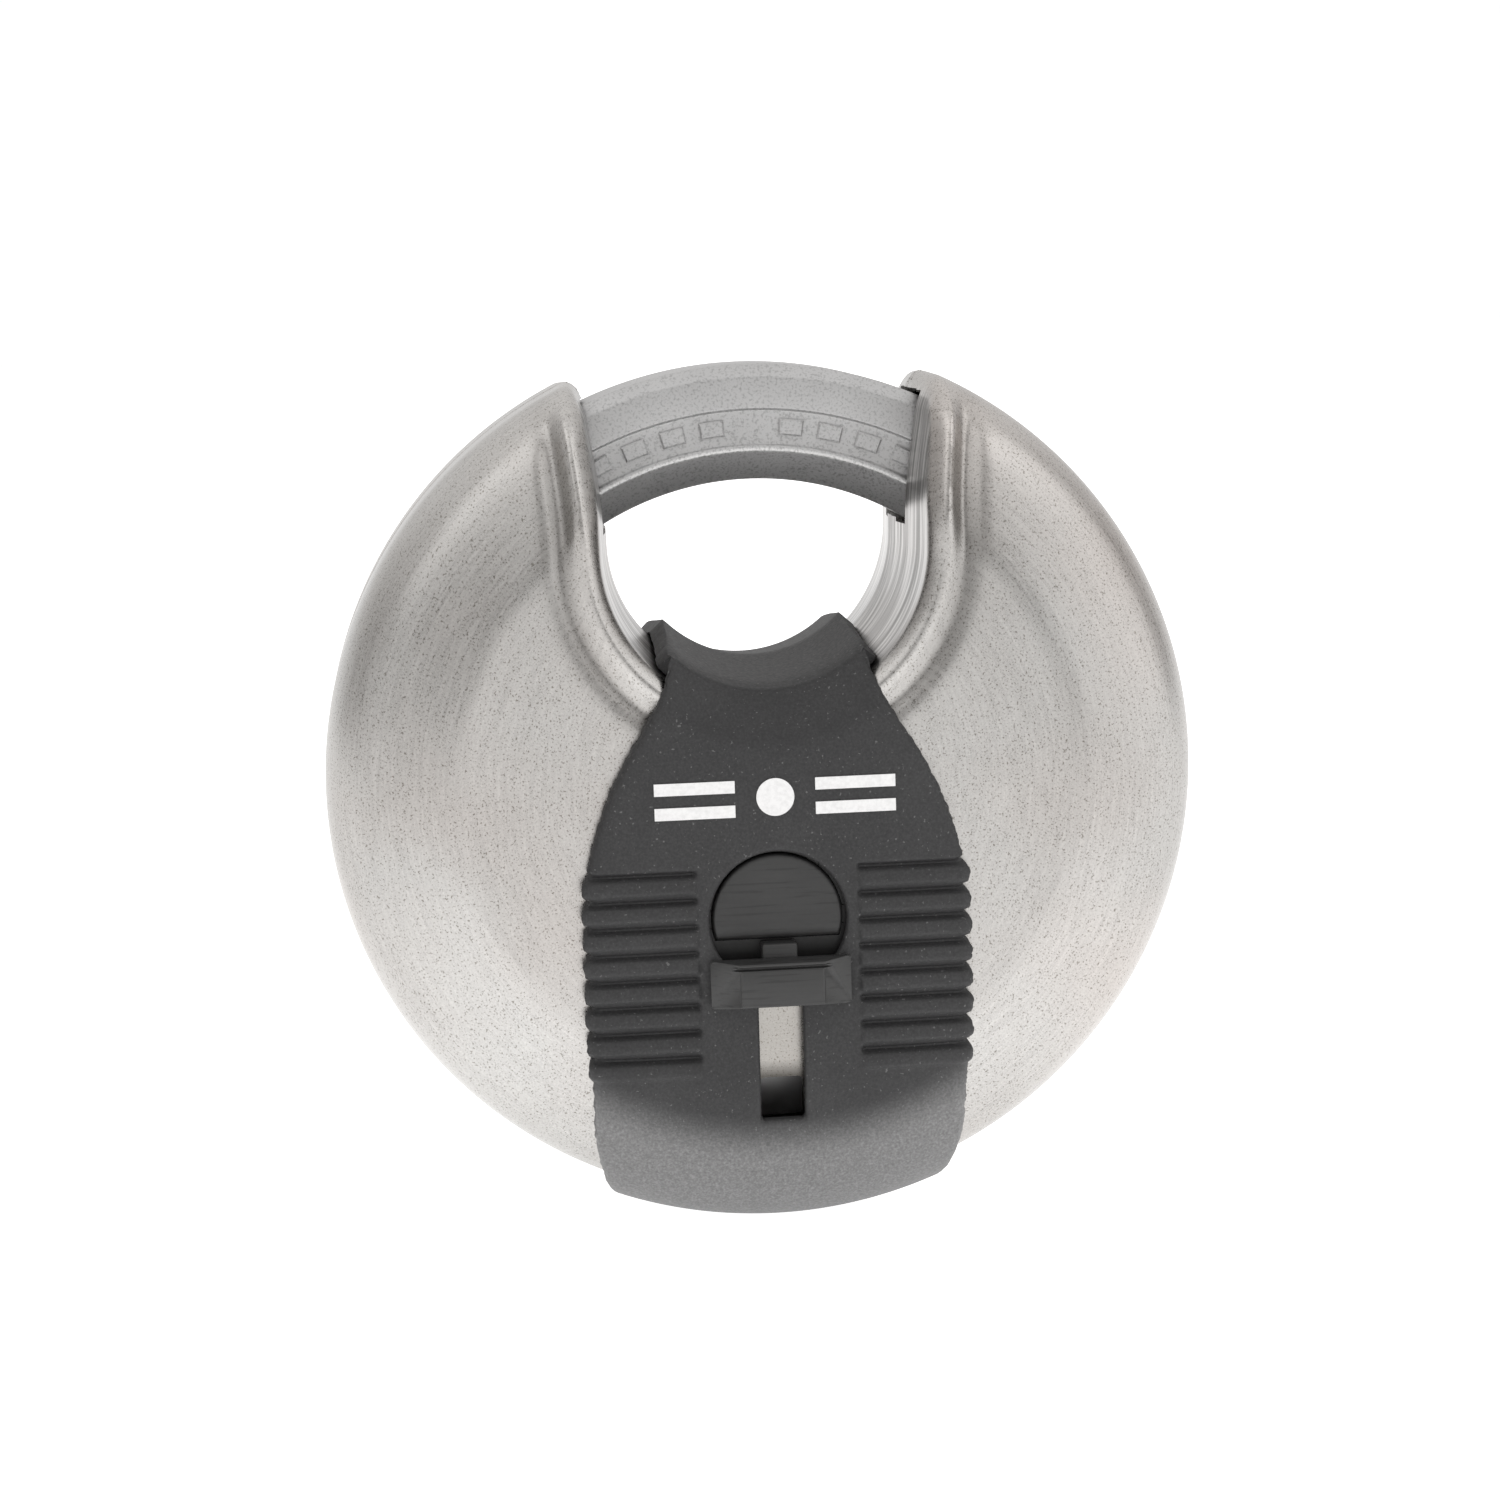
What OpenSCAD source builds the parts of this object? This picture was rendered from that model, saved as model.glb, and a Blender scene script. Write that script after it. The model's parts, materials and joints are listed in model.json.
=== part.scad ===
// Disc padlock: two stamped shells, a sliding arc shackle, a keyed plug that
// drives it through a crank and slotted lug, and a rubber jacket with a
// sliding keyway shutter. Millimetres, +Z up, front faces -Y. The lock hangs
// by the crown of its shackle, which is the origin.

/* [Case] */
// Case diameter
case_d = 80; // [70:1:90]
// Depth of the case over its flat faces
case_depth = 30; // [28:0.5:32]
// Stamped sheet thickness
sheet_t = 1.5; // [1.2:0.1:1.8]
// Diameter of the flat on each face
flat_d = 57; // [52:0.5:60]
// Width of the drain slot at the foot of the front face
drain_w = 4.2; // [3:0.1:5]
// Distance of the drain slot below the case centre
drain_drop = 26.4; // [25:0.1:27]

/* [Throat] */
// Throat radius at the joint between the shells
throat_r = 13.2; // [12.5:0.1:14]
// Extra throat radius at the faces
throat_flare = 1.4; // [0.5:0.1:2]
// Height of the throat centre above the case centre
throat_z = 21.7; // [21:0.1:23]

/* [Shackle] */
// Outer radius of the shackle arc
shackle_ro = 37.6; // [36.5:0.1:37.9]
// Section of the shackle, radially
shackle_w = 10.6; // [9.5:0.1:11]
// Depth of the shackle, front to rear
shackle_t = 11; // [10:0.5:11.5]
// Swing between locked and open
shackle_travel = 68; // [60:1:70]

/* [Key mechanism] */
// Distance of the plug axis below the case centre
plug_drop = 11.5; // [11.2:0.1:12]
// Plug diameter
plug_d = 11; // [10:0.2:11.4]
// Number of pin stacks
pin_count = 5; // [4:1:5]
// Running clearance of the plug
run_gap = 0.05; // [0.03:0.01:0.1]

/* [Jacket] */
// Rubber thickness
rubber_t = 2; // [1.9:0.1:2.4]
// Half width of the jacket below the window
jacket_hw = 17.2; // [16:0.2:18]
// Ribs on each side
rib_count = 8; // [4:1:9]
// Pitch of the ribs
rib_pitch = 2.4; // [2:0.1:2.6]
// Travel of the keyway shutter
shutter_travel = 10.5; // [9:0.5:11]

/* [Output] */
// Sub-part to draw

/* [Hidden] */
$fn = 96;
case_r = case_d / 2;
face_y = case_depth / 2;
flat_r = flat_d / 2;
in_r = case_r - sheet_t;
in_y = face_y - sheet_t;
shackle_ri = shackle_ro - shackle_w;
half_t = shackle_t / 2;
outer_bevel = 1.1;
inner_bevel = 2.8;
panel_dip = 0.2;
nose_deg = 130;
tail_deg = -64;
plug_r = plug_d / 2;
drain_h = 4.4;
grip_flat = 7.6;
crank_r = plug_drop;
lug_deg = -90 + shackle_travel / 2;
lug_margin = 16;
lug_y0 = half_t;
lug_t = 2.6;
lever_y0 = lug_y0 + lug_t + 0.3;
lever_t = 2.2;
pin_r = 2;
plate_t = 2.2;
plate_y = half_t + 0.15;
plate_r = in_r - 0.6;
core_ro = shackle_ri - 0.1;
core_ri = core_ro - 4.2;
pin_bore = 1.4;
pin_body = 1.3;
keyway_top = 3.6;
driver_len = 4.2;
pin_pitch = 2.9;
first_pin_y = -10.2;
shear_z = plug_r + run_gap;
housing_r = 8;
housing_y0 = -in_y + 1.3;
housing_y1 = 4.4;
bible_w = 8;
bible_top = 16.4;
spring_rings = 7;
spring_wire = 0.45;
spring_z0 = shear_z + driver_len;
spring_pitch = (bible_top - spring_z0 - spring_wire) / (spring_rings - 1);
window_r = 6.2;
pocket_t = 1.2;
skin_gap = 0.3;
rubber_y = face_y + rubber_t;
grip_w = 12.6;
slot_w = 4;
slot_foot = -30.1;
plate_hw = 7.2;

// Everything hangs from the shackle crown.
module hang() { translate([0, 0, -shackle_ri]) children(); }

// A turned form about the case axis, drawn as radius and depth to the front.
module turned() { rotate([90, 0, 0]) rotate_extrude(convexity = 6) children(); }

// An upright outline given depth between two planes, front to rear.
module slab(y0, y1) {
  translate([0, y1, 0]) rotate([90, 0, 0]) linear_extrude(y1 - y0) children();
}

// A round bar or bore along the depth.
module rod(r, y0, y1) { translate([0, y1, 0]) rotate([90, 0, 0]) cylinder(r = r, h = y1 - y0); }

module at_plug() { translate([0, 0, -plug_drop]) children(); }

// Outline of one stamped face, from the centre out to the joint line.
module face_outline(g) {
  polygon([[0, 0], [case_r + g * 0.7, 0], [case_r + g * 0.7, 6.6], [39.4 + g * 0.7, 9 + g * 0.3],
    [38.2 + g * 0.65, 11 + g * 0.65], [36.2 + g * 0.45, 12.6 + g * 0.87],
    [flat_r + g * 0.15, face_y + g], [0, face_y + g]]);
}

module envelope(g) { turned() face_outline(g); }

// The throat: a conical cradle that opens through the rim, grown by g.
module throat_front(g) {
  deep = face_y + 4;
  slope = throat_flare / face_y;
  translate([0, 0, throat_z]) rotate([90, 0, 0])
    cylinder(r1 = throat_r + g, r2 = throat_r + g + slope * deep, h = deep);
  hull() {
    mouth_slice(0, throat_r + g);
    mouth_slice(-deep, throat_r + g + slope * deep);
  }
}

module mouth_slice(y, hw) {
  slab(y, y + 0.01) polygon([[-hw, throat_z], [hw, throat_z], [hw + 1.3, 33], [hw + 4.6, 40],
    [hw + 6, 46], [-hw - 6, 46], [-hw - 4.6, 40], [-hw - 1.3, 33]]);
}

module half_shell() {
  difference() {
    envelope(0);
    difference() {
      turned() polygon([[0, -0.01], [in_r, -0.01], [in_r, 6.4],
        [in_r - 0.5, 8.4], [in_r - 1.5, 10], [in_r - 2.8, 11.1], [flat_r - 0.2, in_y], [0, in_y]]);
      intersection() {
        throat_front(sheet_t);
        envelope(0);
      }
    }
    throat_front(0);
    turned() translate([shackle_ri - 0.5, -1]) square([shackle_w + 0.9, half_t + 1.5]);
  }
}

module front_shell() {
  color("silver") difference() {
    half_shell();
    at_plug() rod(plug_r + 0.3, -face_y - 1, -in_y + 1);
    translate([-drain_w / 2, -face_y - 1, -drain_drop - drain_h])
      cube([drain_w, sheet_t + 2, drain_h]);
  }
}

module rear_shell() { color("silver") mirror([0, 1, 0]) half_shell(); }

// Outline of the rubber tongue on each face, right half then mirrored.
module tongue_outline() {
  half = [[8.4, 13.6], [9.6, 9.1], [11.4, 6.1], [13.3, 3.1], [15.1, -0.5], [16.5, -4.3],
    [jacket_hw - 0.2, -6.9], [jacket_hw, -10.5], [jacket_hw, -36], [jacket_hw - 0.8, -39],
    [13.5, -45]];
  last = len(half) - 1;
  polygon(concat(half, [for (i = [last : -1 : 0]) [-half[i][0], half[i][1]]]));
}

module saddle_gap(g) {
  throat_front(g);
  mirror([0, 1, 0]) throat_front(g);
}

module rib_grooves(side) {
  for (i = [0 : rib_count]) {
    translate([side * 14.3 - 7, -rubber_y - 2, -6.6 - i * rib_pitch - 0.7])
      cube([14, 2.9, 0.7]);
  }
}

module weather_jacket() {
  color("dimgray") difference() {
    intersection() {
      union() {
        envelope(rubber_t);
        mirror([0, 1, 0]) envelope(rubber_t);
      }
      slab(-25, 25) tongue_outline();
    }
    difference() {
      union() {
        envelope(0);
        mirror([0, 1, 0]) envelope(0);
      }
      saddle_gap(0);
    }
    saddle_gap(-rubber_t);
    rib_grooves(1);
    rib_grooves(-1);
    at_plug() rod(window_r, -30, -10);
    shutter_pocket();
    slab(-30, -face_y + 0.01) translate([-slot_w / 2, slot_foot]) square([slot_w, 15]);
  }
}

// The shutter runs in a pocket behind the jacket's front skin.
module shutter_pocket() {
  slab(-face_y - pocket_t, -face_y + 0.01)
    translate([-plate_hw - 0.4, slot_foot - 0.4]) square([2 * plate_hw + 0.8, 26.2]);
}

module front_mark() {
  color("white") {
    for (s = [-1, 1]) {
      slab(-rubber_y - 0.12, -rubber_y)
        translate([s * 7.2 - 3.6, 0.2]) square([7.2, 1.1]);
      slab(-rubber_y - 0.12, -rubber_y)
        translate([s * 7.2 - 3.6, -2]) square([7.2, 1.1]);
    }
    translate([0, -rubber_y, -0.3]) rotate([90, 0, 0]) cylinder(r = 1.7, h = 0.12);
  }
}

module anti_drill_plate() {
  color("gray") at_plug() difference() {
    rod(13, -in_y, housing_y0);
    rod(plug_r + 0.3, -in_y - 1, housing_y0 + 1);
  }
}

// Outline of an inner plate, cleared round the throat walls.
module plate_outline() {
  difference() {
    circle(r = plate_r);
    throat_clear();
  }
}

module throat_clear() {
  hw = throat_r + sheet_t + 1.6;
  translate([0, throat_z]) circle(r = hw);
  polygon([[-hw, throat_z], [hw, throat_z], [hw + 1.5, 33], [hw + 6.3, 44],
    [-hw - 6.3, 44], [-hw - 1.5, 33]]);
}

module post_places() {
  for (a = [-18, 22, 158, 198])
    rotate([0, -a, 0]) translate([core_ro - 2.1, 0, 0]) children();
}

module front_guide_plate() {
  color("darkgray") difference() {
    slab(-plate_y - plate_t, -plate_y) plate_outline();
    at_plug() rod(housing_r + 0.02, -20, 0);
    slab(-20, 0) translate([-bible_w / 2 - 0.02, -plug_drop]) square([bible_w + 0.04, 30]);
    post_places() rod(1.2, -20, 0);
  }
}

module guide_core() {
  color("darkgray") difference() {
    slab(-plate_y, plate_y) difference() {
      circle(r = core_ro);
      circle(r = core_ri);
      throat_clear();
    }
    slab(half_t - 0.25, 20) lug_sweep(0);
    post_places() rod(1.2, -20, 20);
  }
}

// Floor of the lug's swing, with rounded stops at both ends.
module lug_sweep(r0) {
  difference() {
    half = shackle_travel / 2 + lug_margin;
    polygon([[0, 0], [60 * sin(half), -60 * cos(half)], [40, -80], [-40, -80],
      [-60 * sin(half), -60 * cos(half)]]);
    circle(r = r0);
  }
}

module rear_guide_plate() {
  color("darkgray") difference() {
    slab(plate_y, plate_y + plate_t) plate_outline();
    slab(0, 20) lug_sweep(15.6);
    at_plug() rod(3.2, 0, 20);
    post_places() rod(1.2, 0, 20);
  }
}

module guide_posts() {
  color("lightgray") post_places() {
    rod(2, -in_y, -plate_y - plate_t);
    rod(1.2, -plate_y - plate_t - 0.1, plate_y + plate_t + 0.1);
    rod(2, plate_y + plate_t, in_y);
  }
}

module chambers() {
  for (i = [0 : pin_count - 1])
    translate([0, first_pin_y + i * pin_pitch, 0]) children();
}

module cylinder_housing() {
  color("goldenrod") at_plug() difference() {
    union() {
      rod(housing_r, housing_y0, housing_y1);
      translate([-bible_w / 2, housing_y0, 0])
        cube([bible_w, housing_y1 - housing_y0, bible_top]);
    }
    rod(plug_r + run_gap, -20, 20);
    chambers() cylinder(r = pin_bore, h = 40);
  }
}

module chamber_cap() {
  color("goldenrod") at_plug() translate([-bible_w / 2, housing_y0, bible_top])
    cube([bible_w, housing_y1 - housing_y0, 0.8]);
}

module driver_pins() {
  color("silver") at_plug() chambers()
    translate([0, 0, shear_z]) cylinder(r = pin_body, h = driver_len);
}

// Springs between the drivers and the cap: flat rings joined side to side.
module driver_springs() {
  color("silver") at_plug() chambers()
    for (k = [0 : spring_rings - 1]) {
      translate([0, 0, spring_z0 + k * spring_pitch]) difference() {
        cylinder(r = 1.2, h = spring_wire, $fn = 32);
        translate([0, 0, -1]) cylinder(r = 0.8, h = 3, $fn = 32);
      }
      if (k < spring_rings - 1)
        translate([k % 2 == 0 ? 0.8 : -1.15, -0.3, spring_z0 + k * spring_pitch + 0.1])
          cube([0.35, 0.6, spring_pitch]);
    }
}

module plug() {
  color("gold") at_plug() difference() {
    union() {
      rod(plug_r, -face_y + 0.1, housing_y1);
      rod(3, housing_y1 - 0.1, lever_y0);
      slab(lever_y0 - 0.1, lever_y0 + lever_t) square([4.2, 4.2], center = true);
    }
    rod(1.25, lever_y0 - 3, 20);
    chambers() cylinder(r = pin_bore, h = 10);
    translate([-1, -20, -4]) cube([2, 22.9, keyway_top + 4]);
    translate([0.6, -20, -1.6]) cube([1.2, 22.9, 1.2]);
  }
}

module key_pins() {
  color("gold") at_plug() chambers()
    translate([0, 0, keyway_top]) cylinder(r = pin_body, h = plug_r - keyway_top - 0.16);
}

module plug_clip() {
  color("gray") at_plug() difference() {
    rod(4.9, housing_y1 + 0.1, housing_y1 + 0.9);
    rod(3, 0, 20);
  }
}

// Turned back from bottom centre by the whole shackle travel when locked.
module at_crank() { at_plug() rotate([0, -shackle_travel, 0]) children(); }

module crank_lever() {
  color("gray") difference() {
    at_crank() union() {
      rod(4.4, lever_y0, lever_y0 + lever_t);
      translate([0, 0, -crank_r]) rod(3.3, lever_y0, lever_y0 + lever_t);
      slab(lever_y0, lever_y0 + lever_t)
        polygon([[-4, -0.5], [4, -0.5], [3, -crank_r], [-3, -crank_r]]);
    }
    at_plug() slab(0, 20) square([4.2, 4.2], center = true);
    at_crank() translate([0, 0, -crank_r]) rod(pin_r, 0, 20);
  }
}

module crank_pin() {
  color("silver") at_crank()
    translate([0, 0, -crank_r]) rod(pin_r, lug_y0 + 0.3, lever_y0 + lever_t);
}

module crank_screw() {
  color("silver") at_plug() {
    rod(1.25, lever_y0 - 2.6, lever_y0 + lever_t + 0.1);
    difference() {
      rod(3.3, lever_y0 + lever_t, lever_y0 + lever_t + 1.8);
      translate([-0.4, lever_y0 + lever_t + 1, -5]) cube([0.8, 3, 10]);
    }
  }
}

// Eight-sided section with a shallow panel along the middle of each face.
module shackle_section() {
  o = shackle_ro;
  i = shackle_ri;
  h = half_t;
  polygon([[i, -h + inner_bevel], [i + inner_bevel, -h], [i + 3.2, -h], [i + 3.4, -h + panel_dip],
    [i + 6.4, -h + panel_dip], [i + 6.6, -h], [o - outer_bevel, -h], [o, -h + outer_bevel],
    [o, h - outer_bevel], [o - outer_bevel, h], [i + 6.6, h], [i + 6.4, h - panel_dip],
    [i + 3.4, h - panel_dip], [i + 3.2, h], [i + inner_bevel, h], [i, h - inner_bevel]]);
}

// A sweep about the case axis from one polar angle to another.
module swept(from_deg, to_deg) {
  rotate([90, 0, 0]) rotate([0, 0, from_deg])
    rotate_extrude(angle = to_deg - from_deg, convexity = 6) children();
}

module lug_holes() {
  for (a = [-5, 5])
    rotate([0, -lug_deg + a, 0]) translate([shackle_ri + 5.6, 0, 0]) children();
}

module shackle() {
  color("lightgray") difference() {
    union() {
      swept(tail_deg, nose_deg) shackle_section();
      for (a = [64 : 6.5 : 116])
        if (abs(a - 90) > 4) swept(a - 2, a + 2)
          translate([shackle_ri + 4.2, half_t - panel_dip - 0.1]) square([1.5, 0.3]);
    }
    lug_holes() rod(1.5, half_t - 4, half_t + 1);
  }
}

module drive_lug() {
  color("gray") difference() {
    slab(lug_y0, lug_y0 + lug_t) rotate(lug_deg) difference() {
      intersection() {
        circle(r = shackle_ro - 1.4);
        polygon([[15.6, -4], [27, -4.6], [29, -5.4], [40, -5.4], [40, 5.4], [29, 5.4],
          [27, 4.6], [15.6, 4]]);
      }
      slot_from = 2 * crank_r * cos(shackle_travel / 2);
      slot_to = 2 * crank_r;
      translate([slot_from - 0.2, 0]) circle(r = pin_r + run_gap);
      translate([slot_to + 0.2, 0]) circle(r = pin_r + run_gap);
      translate([slot_from - 0.2, -pin_r - run_gap])
        square([slot_to - slot_from + 0.4, 2 * (pin_r + run_gap)]);
    }
    lug_holes() rod(1.5, 0, 20);
  }
}

module lug_rivets() {
  color("silver") lug_holes() {
    rod(1.5, half_t - 4, lug_y0 + lug_t);
    rod(2.4, lug_y0 + lug_t, lug_y0 + lug_t + 0.9);
  }
}

module shutter_plate() {
  color("black") slab(-face_y - 0.9, -face_y - 0.1)
    translate([-plate_hw, -plug_drop - 7.5]) square([2 * plate_hw, 14.3]);
}

module shutter_link() {
  color("black") slab(-rubber_y - skin_gap, -face_y - 0.9)
    translate([-slot_w / 2 + 0.4, -plug_drop - 7.5]) square([slot_w - 0.8, 4.8]);
}

// Finger bar of the shutter with sloped ends and a lip along the top.
module shutter_grip() {
  y0 = -rubber_y - skin_gap;
  zt = -plug_drop - 3.3;
  color("black") translate([0, y0, zt - 4.4]) difference() {
    linear_extrude(height = 4.4)
      polygon([[-grip_w / 2, 0], [grip_w / 2, 0], [grip_w / 2, -0.5], [grip_flat / 2, -2],
        [-grip_flat / 2, -2], [-grip_w / 2, -0.5]]);
    translate([-grip_w / 2 - 1, -2.4, 3.6]) cube([grip_w + 2, 0.8, 0.35]);
  }
}

hang() front_shell();
hang() rear_shell();
hang() weather_jacket();
hang() front_mark();
hang() anti_drill_plate();
hang() front_guide_plate();
hang() guide_core();
hang() rear_guide_plate();
hang() guide_posts();
hang() cylinder_housing();
hang() chamber_cap();
hang() driver_pins();
hang() driver_springs();
hang() plug();
hang() key_pins();
hang() plug_clip();
hang() crank_lever();
hang() crank_pin();
hang() crank_screw();
hang() shackle();
hang() drive_lug();
hang() lug_rivets();
hang() shutter_plate();
hang() shutter_link();
hang() shutter_grip();
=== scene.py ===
"""Disc padlock: the looks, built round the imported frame. Shapes are in millimetres from the centre of
the case, front towards -Y and up towards +Z, and new_object turns them into metres in the frame.
Materials, floor, lights and camera are in metres, with MM where a value belongs to the lock."""

import json
import math

import bmesh
import bpy
import numpy as np
from mathutils import Matrix, Vector, noise
from mathutils.geometry import delaunay_2d_cdt


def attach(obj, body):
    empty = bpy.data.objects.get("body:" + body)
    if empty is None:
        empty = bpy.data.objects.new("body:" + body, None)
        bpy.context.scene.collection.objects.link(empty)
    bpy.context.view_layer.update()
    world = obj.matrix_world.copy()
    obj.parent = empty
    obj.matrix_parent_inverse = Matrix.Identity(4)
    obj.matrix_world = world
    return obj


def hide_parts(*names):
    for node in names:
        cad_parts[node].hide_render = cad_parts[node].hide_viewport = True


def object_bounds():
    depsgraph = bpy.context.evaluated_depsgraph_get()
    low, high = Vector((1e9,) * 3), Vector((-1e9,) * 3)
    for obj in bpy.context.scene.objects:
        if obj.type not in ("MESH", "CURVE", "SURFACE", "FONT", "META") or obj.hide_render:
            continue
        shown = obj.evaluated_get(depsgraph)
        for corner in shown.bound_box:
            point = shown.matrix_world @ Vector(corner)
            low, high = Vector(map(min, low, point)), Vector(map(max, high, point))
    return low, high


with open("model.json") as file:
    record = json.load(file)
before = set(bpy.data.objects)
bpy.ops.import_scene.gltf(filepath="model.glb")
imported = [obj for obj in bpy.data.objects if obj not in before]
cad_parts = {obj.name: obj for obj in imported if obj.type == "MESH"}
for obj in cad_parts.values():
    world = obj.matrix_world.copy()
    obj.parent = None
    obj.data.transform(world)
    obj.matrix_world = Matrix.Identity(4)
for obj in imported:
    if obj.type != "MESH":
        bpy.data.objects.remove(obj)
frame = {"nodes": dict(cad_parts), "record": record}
CAD_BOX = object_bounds()

JOINTS = {j["name"]: j for j in frame["record"]["behaviour"]["joints"]}
CENTRE = Vector(JOINTS["shackle_turn"]["pos_m"])
PLUG_Z = (JOINTS["plug_turn"]["pos_m"][2] - CENTRE.z) * 1000
MM = 0.001

# ---------------------------------------------------------------- helpers


def to_frame(co):
    return (co[0] * MM + CENTRE.x, co[1] * MM + CENTRE.y, co[2] * MM + CENTRE.z)


def new_object(name, verts, faces, smooth=True):
    mesh = bpy.data.meshes.new(name)
    mesh.from_pydata([to_frame(v) for v in verts], [], [tuple(f) for f in faces])
    mesh.update()
    obj = bpy.data.objects.new(name, mesh)
    bpy.context.scene.collection.objects.link(obj)
    if smooth:
        mesh.shade_smooth()
    return obj


def hand_in(obj, body, node):
    """Rides the object on its body, in place of its CAD node."""
    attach(obj, body)
    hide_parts(node)


def apply_modifiers(obj):
    depsgraph = bpy.context.evaluated_depsgraph_get()
    mesh = bpy.data.meshes.new_from_object(obj.evaluated_get(depsgraph))
    obj.modifiers.clear()
    old = obj.data
    obj.data = mesh
    bpy.data.meshes.remove(old)


def smooth_by_angle(obj, degrees):
    obj.data.shade_smooth()
    obj.data.set_sharp_from_angle(angle=math.radians(degrees))


def recalc(obj):
    bm = bmesh.new()
    bm.from_mesh(obj.data)
    bmesh.ops.recalc_face_normals(bm, faces=bm.faces)
    bm.to_mesh(obj.data)
    bm.free()


def turn_outward(bm, outside):
    """Points all faces outward, judged by the face nearest to a place on the outside."""
    bmesh.ops.recalc_face_normals(bm, faces=bm.faces)
    here = Vector(to_frame(outside))
    probe = min(bm.faces, key=lambda f: (f.calc_center_median() - here).length)
    if probe.normal.dot(here - CENTRE) < 0:
        bmesh.ops.reverse_faces(bm, faces=bm.faces)


def step(a, b, x):
    """Smooth step from 0 at a to 1 at b."""
    t = np.clip((np.asarray(x, float) - a) / (b - a), 0, 1)
    return t * t * (3 - 2 * t)


def hump(x, middle, width):
    return np.exp(-((x - middle) / width) ** 2)


def chaikin(points, rounds):
    """An open line with its corners cut round."""
    pts = np.array(points, float)
    for _ in range(rounds):
        a, b = pts[:-1], pts[1:]
        inner = np.stack([0.75 * a + 0.25 * b, 0.25 * a + 0.75 * b], 1).reshape(-1, 2)
        pts = np.vstack([pts[:1], inner, pts[-1:]])
    return pts


def rounded(points, radius, steps=3):
    """A closed outline with each corner rounded by a short arc."""
    out, n = [], len(points)
    for i in range(n):
        a, b, c = (np.array(points[(i + k) % n], float) for k in (-1, 0, 1))
        u, v = (a - b) / np.linalg.norm(a - b), (c - b) / np.linalg.norm(c - b)
        reach = min(radius, 0.35 * np.linalg.norm(a - b), 0.35 * np.linalg.norm(c - b))
        p, q = b + u * reach, b + v * reach
        for k in range(steps + 1):
            t = k / steps
            out.append(tuple((1 - t) ** 2 * p + 2 * t * (1 - t) * b + t * t * q))
    return out


def polyline_distance(p, line, closed=True):
    """Distance of each point from a line, worked out in batches to save memory."""
    a, b = (line, np.roll(line, -1, 0)) if closed else (line[:-1], line[1:])
    d = b - a
    batch = 4000
    best = np.full(len(p), np.inf)
    for k in range(0, len(p), batch):
        q = p[k:k + batch]
        t = np.clip(((q[:, None] - a) * d).sum(2) / ((d**2).sum(1) + 1e-12), 0, 1)
        best[k:k + batch] = np.sqrt((((a + t[..., None] * d) - q[:, None]) ** 2).sum(2)).min(1)
    return best


def inside_loop(points, loop):
    """Even-odd test of points against a closed loop."""
    inside = np.zeros(len(points), bool)
    for (x0, y0), (x1, y1) in zip(loop, np.roll(loop, -1, 0)):
        if y0 != y1:
            crosses = (points[:, 1] > min(y0, y1)) & (points[:, 1] <= max(y0, y1))
            inside ^= crosses & (points[:, 0] < x0 + (points[:, 1] - y0) * (x1 - x0) / (y1 - y0))
    return inside


def side_normals(steps):
    """Unit normals to the right of a line's steps."""
    tangent = steps / np.hypot(*steps.T)[:, None]
    return np.stack([tangent[:, 1], -tangent[:, 0]], 1)


def triangulate(points, edges, border, tolerance):
    """Flat points and faces inside a border of the first points, with the given edges kept."""
    result = delaunay_2d_cdt([Vector(p) for p in points], edges, [list(range(border))], 1, tolerance)
    return np.array([tuple(v) for v in result[0]]), [list(f) for f in result[2]]


def loop_edges(start, count):
    return [(start + k, start + (k + 1) % count) for k in range(count)]


def tube_faces(rows, n, start=0):
    """Faces between rows of n points each, without end caps."""
    faces = []
    for k in range(rows - 1):
        for j in range(n):
            here, beside = start + k * n + j, start + k * n + (j + 1) % n
            faces.append((here, beside, beside + n, here + n))
    return faces


def block(name, lo, hi, bevel):
    xs, ys, zs = zip(lo, hi)
    verts = [(x, y, z) for x in xs for y in ys for z in zs]
    faces = [(0, 1, 3, 2), (4, 6, 7, 5), (0, 4, 5, 1), (2, 3, 7, 6), (0, 2, 6, 4), (1, 5, 7, 3)]
    obj = new_object(name, verts, faces, smooth=False)
    recalc(obj)
    mod = obj.modifiers.new("bevel", "BEVEL")
    mod.width = bevel * MM
    mod.segments = 3
    apply_modifiers(obj)
    smooth_by_angle(obj, 40)
    return obj


def closed_skin(name, outer, inner, faces, outside):
    """A closed solid from matching outer and inner points and the outer faces."""
    obj = new_object(name, [tuple(v) for v in outer], faces)
    bm = bmesh.new()
    bm.from_mesh(obj.data)
    turn_outward(bm, outside)
    bm.verts.ensure_lookup_table()
    twins = [bm.verts.new(to_frame(v)) for v in inner]
    skin = list(bm.faces)
    corners = [e.link_loops[0] for e in bm.edges if e.is_boundary]
    borders = [(corner.vert.index, corner.link_loop_next.vert.index) for corner in corners]
    bm.verts.ensure_lookup_table()
    for f in skin:
        bm.faces.new([twins[v.index] for v in reversed(f.verts)])
    for a, b in borders:
        bm.faces.new([bm.verts[b], bm.verts[a], twins[a], twins[b]])
    bmesh.ops.delete(bm, geom=[v for v in bm.verts if not v.link_faces], context="VERTS")
    bm.to_mesh(obj.data)
    bm.free()
    obj.data.shade_smooth()
    return obj


# ---------------------------------------------------------------- case shells
# A face is laid out flat first: a point's distance from the middle is its way along the section (rho).

FACE_Y = 15.0
THROAT_Z, THROAT_R = 21.7, 13.2
FLARE = 1.4                    # how much wider the throat is at a face than at the joint
EDGE_R = 1.25                  # rounding from a face into the throat wall
SHEET = 1.2
TRACK_IN, TRACK_OUT, TRACK_Y = 26.5, 38.05, 6.0
KEYWAY_R = 5.8
DRAIN_HALF, DRAIN_TOP, DRAIN_FOOT = 2.1, -26.4, -30.8
WALL_ROWS, ROWS_TO_TRACK = 12, 5
RIM_POINTS = 420
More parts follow.
